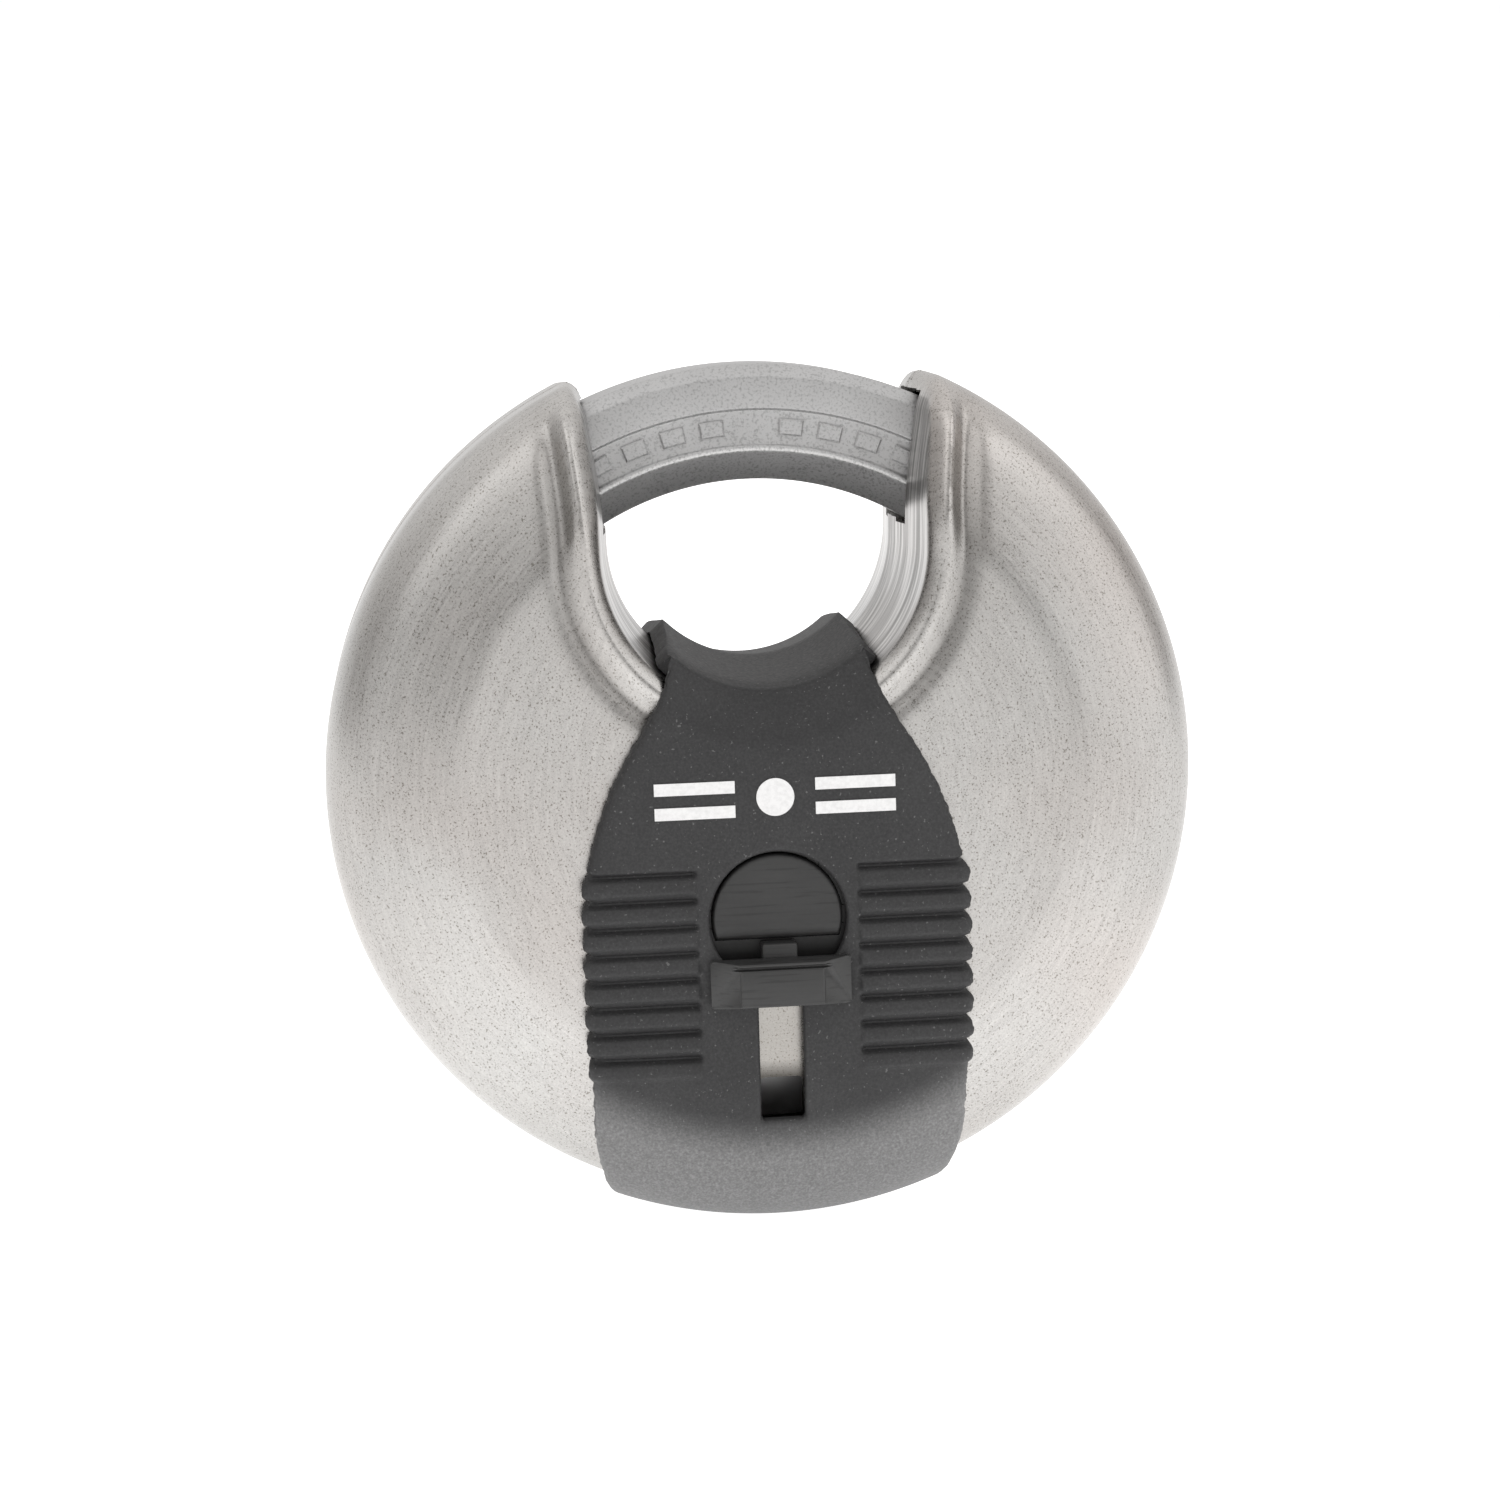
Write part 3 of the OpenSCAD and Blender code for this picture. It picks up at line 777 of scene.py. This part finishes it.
def add_bar(verts, faces, middle, side):
    """A raised bar on one face's panel, round a middle angle, with its top edge drawn in."""
    inner, outer = SHACKLE_IN + 4.2, SHACKLE_IN + 5.7
    panel_y, steps = side * (SHACKLE_HALF - PANEL_DEPTH), 8
    base, n = len(verts), 2 * (steps + 1)
    levels = [(0.0, -0.1), (0.0, 0.55), (0.16, 1.0)]
    sweep = [BAR_HALF * (2 * k / steps - 1) for k in range(steps + 1)]
    for inset, up in levels:
        for r, a in [(inner + inset, a) for a in sweep] + [(outer - inset, a) for a in sweep[::-1]]:
            at = math.radians(middle + a * (1 - inset / 1.3))
            verts.append((r * math.cos(at), panel_y + side * BAR_HEIGHT * up, r * math.sin(at)))
    faces += tube_faces(len(levels), n, base)
    last = base + (len(levels) - 1) * n
    faces.append(tuple(range(last, last + n)))
    faces.append(tuple(range(base, base + n))[::-1])


# ---------------------------------------------------------------- shutter

COVER_HALF, COVER_LOW, COVER_HIGH, COVER_CORNER = 7.2, PLUG_Z - 7.5, PLUG_Z + 6.8, 0.9
COVER_BACK, COVER_FRONT, PAD_RISE = -15.12, -15.4, 0.68
PAD_R, PAD_FOOT = 5.95, PLUG_Z - 1.95
GRIP_TOP, GRIP_TALL, GRIP_HALF, GRIP_TAPER = PLUG_Z - 3.3, 4.4, 6.3, 2.5
GRIP_BACK, GRIP_SHOULDER, GRIP_FACE = -17.3, -17.8, -19.3


def in_cover(x, z):
    """Whether a point is inside the plate's rounded outline, clear of its edge."""
    past_x = max(abs(x) - COVER_HALF + COVER_CORNER, 0)
    past_z = max(abs(z - (COVER_LOW + COVER_HIGH) / 2) - (COVER_HIGH - COVER_LOW) / 2 + COVER_CORNER, 0)
    return math.hypot(past_x, past_z) < COVER_CORNER - 0.12


def shutter_cover():
    """A thin plate with a raised round pad that shows in the window and rolls off above the neck."""
    arc = [(COVER_CORNER * math.cos(t), COVER_CORNER * math.sin(t)) for t in np.linspace(0, math.pi / 2, 6)]
    side, top, foot = COVER_HALF - COVER_CORNER, COVER_HIGH - COVER_CORNER, COVER_LOW + COVER_CORNER
    outline = [(side + x, top + z) for x, z in arc]
    outline += [(-side - x, top + z) for x, z in arc[::-1]]
    outline += [(-side - x, foot - z) for x, z in arc]
    outline += [(side + x, foot - z) for x, z in arc[::-1]]
    heights = np.arange(COVER_LOW + 0.2, COVER_HIGH - 0.1, 0.28)
    cloud = [(x, z) for x in np.arange(-7, 7.05, 0.28) for z in heights if in_cover(x, z)]
    open_at = math.asin((PLUG_Z - PAD_FOOT) / PAD_R)
    sweep = np.linspace(-open_at, math.pi + open_at, 150)
    for inset in (0.0, 0.06, 0.15, 0.3, 0.5):
        r = PAD_R - inset
        cloud += [(r * math.cos(t), PLUG_Z + r * math.sin(t)) for t in sweep]
        cloud += [(x, PAD_FOOT + inset) for x in np.arange(-5.4, 5.45, 0.15)]
    flat, faces = triangulate(outline + cloud, [], len(outline), 1e-3)
    x, z = flat.T
    depth = np.minimum(PAD_R - np.hypot(x, z - PLUG_Z), z - PAD_FOOT)
    edge = np.clip(depth / 0.3, 0, 1)
    roll = np.clip((z - PAD_FOOT) / 1.5, 0, 1)
    pad = np.sqrt(1 - (1 - edge) ** 2) * (0.4 + 0.6 * np.sqrt(1 - (1 - roll) ** 2)) * (depth > 0)
    outer = np.stack([x, COVER_FRONT - PAD_RISE * pad, z], 1)
    inner = np.stack([x, np.full(len(flat), COVER_BACK), z], 1)
    obj = closed_skin("shutter_cover", outer, inner, faces, (0, -17, PLUG_Z))
    smooth_by_angle(obj, 40)
    return obj


def shutter_bar():
    """The finger bar: a section with a groove under its top edge, drawn in at both rounded ends."""
    top, low, face = GRIP_TOP, GRIP_TOP - GRIP_TALL, GRIP_FACE
    section = [(low, GRIP_BACK), (low, GRIP_SHOULDER), (low + 0.3, face), (top - 0.75, face),
               (top - 0.75, face + 0.5), (top - 0.45, face + 0.5), (top - 0.45, face + 0.12),
               (top - 0.2, face + 0.12), (top, GRIP_SHOULDER), (top, GRIP_BACK)]
    outline = rounded(section, 0.16)
    mid_z, mid_y, round_r, n = (top + low) / 2, (GRIP_BACK + face) / 2, 0.24, len(outline)
    stations = [(round_r * t, round_r * (1 - math.sqrt(1 - (1 - t) ** 2))) for t in np.linspace(0, 1, 6)]
    rows = [(-1, *at) for at in stations] + [(1, *at) for at in stations[::-1]]
    verts = []
    for side, along, inset in rows:
        for z, y in outline:
            half = GRIP_HALF - GRIP_TAPER * max(0, min(1, (GRIP_SHOULDER - y) / (GRIP_SHOULDER - face)))
            verts.append((side * (half - along), mid_y + (y - mid_y) * (1 - inset),
                          mid_z + (z - mid_z) * (1 - inset / 2.2)))
    last = (len(rows) - 1) * n
    faces = tube_faces(len(rows), n) + [tuple(range(n)), tuple(range(last, last + n))[::-1]]
    obj = new_object("shutter_bar", verts, faces, smooth=False)
    recalc(obj)
    smooth_by_angle(obj, 35)
    return obj


def shutter():
    plate = shutter_cover()
    neck = block("shutter_neck", (-1.6, -17.35, PLUG_Z - 7.4), (1.6, -15.3, PLUG_Z - 2.1), 0.25)
    grip = shutter_bar()
    hand_in(plate, "shutter", "shutter_plate")
    hand_in(neck, "shutter", "shutter_link")
    hand_in(grip, "shutter", "shutter_grip")
    return plate, neck, grip


# ---------------------------------------------------------------- materials


class Graph:
    """A short way to write a node tree."""

    def __init__(self, tree):
        self.tree = tree

    def put(self, kind, inputs=None, **settings):
        node = self.tree.nodes.new(kind)
        for key, value in settings.items():
            setattr(node, key, value)
        for key, value in (inputs or {}).items():
            self.join(value, node.inputs[key])
        return node

    def join(self, value, socket):
        if isinstance(value, bpy.types.NodeSocket):
            self.tree.links.new(value, socket)
        else:
            socket.default_value = value

    def axes(self, vector):
        return self.put("ShaderNodeSeparateXYZ", {"Vector": vector}).outputs

    def ramp(self, value, stops):
        node = self.put("ShaderNodeValToRGB", {"Fac": value})
        el = node.color_ramp.elements
        el[0].position, el[0].color = stops[0][0], (*stops[0][1], 1)
        el[1].position, el[1].color = stops[-1][0], (*stops[-1][1], 1)
        for position, colour in stops[1:-1]:
            el.new(position).color = (*colour, 1)
        return node.outputs["Color"]

    def fit(self, value, a, b, c, d, **settings):
        """Maps a to c and b to d, and holds the ends."""
        inputs = {"Value": value, "From Min": a, "From Max": b, "To Min": c, "To Max": d}
        return self.put("ShaderNodeMapRange", inputs, **settings).outputs["Result"]

    def spread(self, texture, c, d):
        """Maps the middle of a noise's range to c and d."""
        return self.fit(texture, 0.3, 0.7, c, d)

    def mix(self, share, a, b, blend="MIX"):
        node = self.put("ShaderNodeMix", {"Factor": share}, data_type="RGBA", blend_type=blend)
        colours = [socket for socket in node.inputs if socket.type == "RGBA"]
        for value, socket in zip((a, b), colours):
            self.join(value, socket)
        return next(socket for socket in node.outputs if socket.type == "RGBA")

    def tinted(self, a, b):
        return self.mix(1.0, a, b, "MULTIPLY")

    def math(self, op, a, b=0.0):
        node = self.put("ShaderNodeMath", operation=op)
        self.join(a, node.inputs[0])
        self.join(b, node.inputs[1])
        return node.outputs[0]

    def plus(self, a, b):
        return self.math("ADD", a, b)

    def minus(self, a, b):
        return self.math("SUBTRACT", a, b)

    def times(self, a, b):
        return self.math("MULTIPLY", a, b)

    def size(self, a):
        return self.math("ABSOLUTE", a)


class Look(Graph):
    """A material in the object's own coordinates."""

    def __init__(self, name):
        self.mat = bpy.data.materials.new(name)
        self.mat.use_nodes = True
        super().__init__(self.mat.node_tree)
        self.bsdf = self.tree.nodes["Principled BSDF"]
        self.place = self.put("ShaderNodeTexCoord").outputs["Object"]

    def noise(self, size_mm, detail, rough, vector=None):
        inputs = {"Vector": vector or self.place, "Scale": 1000.0 / size_mm, "Detail": detail,
                  "Roughness": rough}
        return self.put("ShaderNodeTexNoise", inputs).outputs["Fac"]

    def stretched(self, factors):
        return self.put("ShaderNodeMapping", {"Vector": self.place, "Scale": factors}).outputs[0]

    def height(self):
        """Height over the case's centre."""
        return self.minus(self.axes(self.place)["Z"], CENTRE.z)

    def radius(self):
        """Distance from the case's axis."""
        x, rise = self.axes(self.place)["X"], self.height()
        return self.math("SQRT", self.plus(self.times(rise, rise), self.times(x, x)))

    def bump(self, height, strength, distance_mm, normal=None):
        inputs = {"Height": height, "Strength": strength, "Distance": distance_mm * MM}
        if normal is not None:
            inputs["Normal"] = normal
        return self.put("ShaderNodeBump", inputs).outputs["Normal"]

    def finish(self, **values):
        for key, value in values.items():
            self.join(value, self.bsdf.inputs[key.replace("_", " ")])
        return self.mat


def grey(level):
    return (level, level, level)


def satin_steel(m, grain, brushed):
    """Soft clouds, a warmer tint in places and small pits, under the grain and the brushing."""
    cloud = m.spread(m.noise(15, 3, 0.55), 0, 1)
    base = m.ramp(cloud, [(0, (0.50, 0.486, 0.470)), (1, (0.535, 0.528, 0.514))])
    tint = m.ramp(m.noise(26, 1, 0.5), [(0.45, (1, 1, 1)), (0.65, (1.0, 0.965, 0.95))])
    pits = m.ramp(m.noise(0.17, 1, 0.4), [(0.30, (0.55, 0.53, 0.50)), (0.37, (1, 1, 1))])
    shade = m.spread(m.plus(m.times(grain, 0.55), m.times(brushed, 0.45)), 0.76, 1.16)
    return m.tinted(m.tinted(m.tinted(base, tint), pits), shade)


def wall_mask(m):
    """1 on the throat's walls, which face sideways inside the case's rim."""
    facing = m.axes(m.put("ShaderNodeNewGeometry").outputs["Normal"])["Y"]
    return m.times(m.fit(m.size(facing), 0.12, 0.50, 1, 0), m.fit(m.radius(), 37.2 * MM, 38.6 * MM, 1, 0))


def slot_shadow(m, at, col):
    """Behind the rubber's slot the steel is painted darker as shade, and at the slot's foot it is painted
    near black as shadow.
    """
    below_plug = m.fit(m.height(), -14 * MM, -12 * MM, 1, 0)
    in_slot = m.times(m.fit(m.size(at["X"]), 2.6 * MM, 3.4 * MM, 1, 0), below_plug)
    slot_shade = m.times(in_slot, m.fit(at["Y"], -14 * MM, -12 * MM, 0.42, 0))
    foot = m.fit(m.height(), (DRAIN_TOP + 1.6) * MM, (DRAIN_TOP + 0.1) * MM, 0, 0.8)
    # Painted shade behind the slot, then painted shadow at its foot.
    col = m.mix(slot_shade, col, (0.20, 0.19, 0.165, 1))
    return m.mix(m.times(foot, in_slot), col, (0.03, 0.027, 0.022, 1))


def steel_case():
    m = Look("satin_stainless")
    at = m.axes(m.place)
    angle = m.math("ARCTAN2", m.height(), at["X"])
    around = m.put("ShaderNodeCombineXYZ", {"X": m.times(m.math("COSINE", angle), 5.0),
                                            "Y": m.times(m.math("SINE", angle), 5.0),
                                            "Z": m.times(m.plus(m.radius(), at["Y"]), 2800.0)}).outputs[0]
    brushed = m.noise(1000, 3, 0.65, around)
    grain = m.noise(0.17, 2, 0.6)
    col = satin_steel(m, grain, brushed)
    # The walls of the throat are painted darker, as painted shade, with fine lines left by the forming.
    wall = wall_mask(m)
    lines = m.noise(1.0, 2, 0.6, m.stretched((0.06, 1.5, 0.06)))
    drawn = m.ramp(lines, [(0.36, (0.20, 0.195, 0.19)), (0.5, (0.42, 0.41, 0.405)),
                           (0.62, (0.70, 0.69, 0.68))])
    col = m.mix(m.times(wall, 0.85), col, drawn)
    # Painted shade in the hollow beside the bead and under the rounded edge, read from the points.
    painted_shade = m.put("ShaderNodeAttribute", attribute_name="painted_shade").outputs["Fac"]
    col = m.mix(m.times(painted_shade, 0.52), col, (0.10, 0.092, 0.085, 1))
    col = slot_shadow(m, at, col)
    # The roughness varies on the faces and is even on the walls, where its variation shows as a grid.
    varied = m.spread(m.plus(m.times(grain, 0.4), m.times(brushed, 0.6)), 0.22, 0.36)
    rough = m.plus(m.times(varied, m.minus(1.0, wall)), m.times(wall, 0.3))
    relief = m.bump(brushed, 0.26, 0.02, m.bump(grain, 0.16, 0.02))
    return m.finish(Base_Color=col, Metallic=1.0, Roughness=rough, Normal=relief)


def steel_shackle():
    m = Look("blasted_alloy")
    grain = m.noise(0.25, 3, 0.65)
    base = m.ramp(m.spread(m.noise(9, 2, 0.5), 0, 1), [(0, grey(0.50)), (1, grey(0.55))])
    col = m.mix(0.6, base, m.ramp(grain, [(0.36, grey(0.5)), (0.5, grey(1))]), "MULTIPLY")
    # The edge between the inner bevel and the face is worn bright.
    off = m.size(m.minus(m.radius(), (SHACKLE_IN + 2.85) * MM))
    worn = m.times(m.fit(off, 0.10 * MM, 0.28 * MM, 1, 0), m.fit(grain, 0.35, 0.6, 0.15, 0.6))
    col = m.mix(worn, col, (0.86, 0.86, 0.85, 1))
    return m.finish(Base_Color=col, Metallic=0.85, Roughness=m.spread(grain, 0.42, 0.6),
                    Normal=m.bump(grain, 0.35, 0.03))


def rubber():
    """Near black, painted paler on the skirt under the rim as a painted sheen of light from the floor, with
    dust and a few specks of lint.
    """
    m = Look("jacket_rubber_look")
    fine = m.noise(0.35, 3, 0.6)
    # Painted sheen: the skirt under the rim is painted paler, for the light it catches from the floor.
    skirt = m.fit(m.radius(), 29.4 * MM, 34.6 * MM, 0, 1, interpolation_type="SMOOTHSTEP")
    cloud = m.spread(m.noise(9, 3, 0.55), 0, 1)
    base = m.ramp(cloud, [(0, (0.030, 0.030, 0.031)), (1, (0.039, 0.039, 0.040))])
    painted_sheen = m.ramp(m.spread(fine, 0, 1), [(0, (0.155, 0.155, 0.156)), (1, (0.215, 0.215, 0.216))])
    dust = m.ramp(m.noise(0.22, 2, 0.6), [(0.32, grey(0.80)), (0.5, grey(0.99)), (0.68, grey(1.24))])
    col = m.tinted(m.mix(skirt, base, painted_sheen), dust)
    specks = m.ramp(m.noise(0.30, 1, 0.4), [(0.70, grey(0)), (0.78, grey(1))])
    lint = m.put("ShaderNodeRGBToBW", {"Color": specks}).outputs[0]
    col = m.mix(m.times(lint, 0.45), col, (0.2, 0.2, 0.2, 1))
    return m.finish(Base_Color=col, Roughness=m.spread(fine, 0.50, 0.64), Normal=m.bump(fine, 0.3, 0.03),
                    Specular_IOR_Level=0.35)


def plastic(name, tone, rough):
    """Black plastic with rubbed lines, painted nearly black where it lies deep behind the rubber, as painted
    shade in the recess.
    """
    m = Look(name)
    fine = m.noise(0.3, 2, 0.5)
    base = m.ramp(m.spread(m.noise(5, 2, 0.5), 0, 1), [(0, grey(tone * 0.9)), (1, grey(tone * 1.15))])
    lines = m.noise(0.6, 2, 0.6, m.stretched((0.10, 1.0, 2.0)))
    rubbed = m.ramp(lines, [(0.33, grey(0.62)), (0.42, grey(1)), (0.72, grey(1.12))])
    # Painted shade: the plastic is painted nearly black where it lies deep in the recess.
    deep = m.fit(m.axes(m.place)["Y"], -15.85 * MM, -15.6 * MM, 0, 0.85)
    col = m.mix(deep, m.tinted(base, rubbed), (0.004, 0.004, 0.004, 1))
    return m.finish(Base_Color=col, Roughness=m.spread(fine, rough - 0.04, rough + 0.06),
                    Normal=m.bump(fine, 0.15, 0.02))


def print_white():
    m = Look("white_print_look")
    fine = m.noise(0.4, 3, 0.6)
    col = m.ramp(fine, [(0.3, grey(0.74)), (0.6, grey(0.84))])
    return m.finish(Base_Color=col, Roughness=m.spread(fine, 0.5, 0.62), Normal=m.bump(fine, 0.2, 0.02))


def metal(name, dark, light, smoothest, roughest):
    m = Look(name)
    fine = m.noise(0.8, 3, 0.6)
    col = m.ramp(m.noise(6, 2, 0.5), [(0.35, dark), (0.65, light)])
    return m.finish(Base_Color=col, Metallic=1.0, Roughness=m.spread(fine, smoothest, roughest),
                    Normal=m.bump(fine, 0.15, 0.02))


def dress(obj, mat):
    obj.data.materials.clear()
    obj.data.materials.append(mat)


# ---------------------------------------------------------------- build

front_case = case_half("case_front", "front_shell", True)
rear_case = case_half("case_rear", "rear_shell", False)
belt = jacket()
arc = shackle()
cover, neck, bar = shutter()

MAT = {
    "steel": steel_case(), "shackle": steel_shackle(), "rubber": rubber(),
    "plate": plastic("shutter_plastic", 0.026, 0.42), "grip": plastic("grip_plastic", 0.028, 0.38),
    "white": print_white(),
    "brass": metal("machined_brass", (0.62, 0.45, 0.2), (0.72, 0.55, 0.28), 0.22, 0.36),
    "zinc": metal("zinc_plate", (0.42, 0.42, 0.43), (0.5, 0.5, 0.5), 0.3, 0.45),
    "hard": metal("hardened_steel", (0.22, 0.22, 0.23), (0.3, 0.3, 0.31), 0.3, 0.45),
    "ground": metal("ground_steel", (0.55, 0.55, 0.57), (0.64, 0.64, 0.65), 0.18, 0.3),
}
for obj, key in ((front_case, "steel"), (rear_case, "steel"), (belt, "rubber"), (arc, "shackle"),
                 (cover, "plate"), (neck, "plate"), (bar, "grip")):
    dress(obj, MAT[key])
for node, key in {
    "front_mark": "white", "anti_drill_plate": "hard", "front_guide_plate": "zinc", "guide_core": "zinc",
    "rear_guide_plate": "zinc", "guide_posts": "zinc", "cylinder_housing": "brass", "chamber_cap": "brass",
    "driver_pins": "ground", "driver_springs": "ground", "plug": "brass", "key_pins": "brass",
    "plug_clip": "ground", "crank_lever": "hard", "crank_pin": "hard", "crank_screw": "ground",
    "drive_lug": "hard", "lug_rivets": "ground",
}.items():
    dress(frame["nodes"][node], MAT[key])

# ---------------------------------------------------------------- floor, light, camera

YAW, ELEV, ROLL = 5.6, 8.8, 1.7        # degrees
DISTANCE, LENS, SENSOR = 300.0, 76.464, 36.0
AIM_RIGHT, AIM_UP = -0.5, 1.33         # where the camera aims, from the case's centre
FLOOR_GAP = 0.3


def pale_floor():
    """A floor that looks white. The light it sheds fades out towards the front and to both sides."""
    bpy.ops.mesh.primitive_plane_add(size=6, location=(0, 0, CAD_BOX[0][2] - FLOOR_GAP * MM))
    floor = bpy.context.object
    floor.name = "floor"
    m = Look("floor_white")
    at = m.axes(m.place)
    pool = m.times(m.fit(at["Y"], -0.18, -0.10, 0.30, 0.74), m.fit(m.size(at["X"]), 0.045, 0.13, 1.0, 0.5))
    seen = m.put("ShaderNodeLightPath").outputs["Is Camera Ray"]
    glow = m.plus(m.times(seen, m.minus(0.95, pool)), pool)
    tone = m.ramp(m.noise(400, 1, 0.5), [(0, grey(0.86)), (1, grey(0.87))])
    m.finish(Base_Color=tone, Roughness=0.9, Emission_Color=(1, 1, 1, 1), Emission_Strength=glow)
    dress(floor, m.mat)


def warm(level):
    return (level, level * 0.985, level * 0.975)


def studio_room():
    """A pale room, darker at both sides and behind the camera. Seen directly, it is plain white."""
    world = bpy.data.worlds.new("studio")
    bpy.context.scene.world = world
    world.use_nodes = True
    g = Graph(world.node_tree)
    toward = g.axes(g.put("ShaderNodeTexCoord").outputs["Generated"])
    by_height = g.ramp(toward["Z"], [(0.08, grey(1)), (0.17, warm(0.80)), (0.34, warm(0.80)),
                                     (0.60, warm(0.92)), (0.80, warm(1.0)), (1.0, warm(1.0))])
    by_side = g.ramp(g.times(toward["X"], toward["X"]), [(0.40, grey(1)), (0.95, (0.64, 0.63, 0.625))])
    by_front = g.ramp(g.times(toward["Y"], -1.0), [(0.55, grey(1)), (0.95, (0.55, 0.545, 0.54))])
    room = g.tinted(g.tinted(by_height, by_side), by_front)
    seen = g.put("ShaderNodeLightPath").outputs["Is Camera Ray"]
    sky = g.tree.nodes["Background"]
    g.join(g.mix(seen, room, (1, 1, 1, 1)), sky.inputs["Color"])
    sky.inputs["Strength"].default_value = 1.02


def area_light(name, where, size, power):
    """A soft light aimed at the lock."""
    light = bpy.data.lights.new(name, "AREA")
    light.shape = "RECTANGLE"
    light.size, light.size_y = size
    light.energy = power
    obj = bpy.data.objects.new(name, light)
    bpy.context.scene.collection.objects.link(obj)
    obj.location = Vector(where)
    obj.rotation_euler = (CENTRE - Vector(where)).to_track_quat("-Z", "Y").to_euler()


def set_camera():
    data = bpy.data.cameras.new("camera")
    camera = bpy.data.objects.new("camera", data)
    bpy.context.scene.collection.objects.link(camera)
    bpy.context.scene.camera = camera
    yaw, elev = math.radians(YAW), math.radians(ELEV)
    toward = Vector((math.sin(yaw) * math.cos(elev), math.cos(yaw) * math.cos(elev), -math.sin(elev)))
    right = Vector((math.cos(yaw), -math.sin(yaw), 0))
    up = right.cross(toward)
    turn = Matrix((right, up, -toward)).transposed().to_4x4() @ Matrix.Rotation(math.radians(-ROLL), 4, "Z")
    aim = CENTRE + (turn.to_3x3() @ Vector((AIM_RIGHT, AIM_UP, 0))) * MM
    camera.matrix_world = Matrix.Translation(aim - toward * DISTANCE * MM) @ turn
    data.sensor_width = SENSOR
    data.lens = LENS
    data.clip_start, data.clip_end = 0.01, 20


pale_floor()
studio_room()
area_light("key_light", (-0.35, -0.50, 0.55), (0.8, 0.7), 0.7)
area_light("fill_light", (0.60, -0.30, 0.25), (0.7, 0.7), 0.85)
set_camera()
bpy.context.scene.view_settings.view_transform = "Standard"
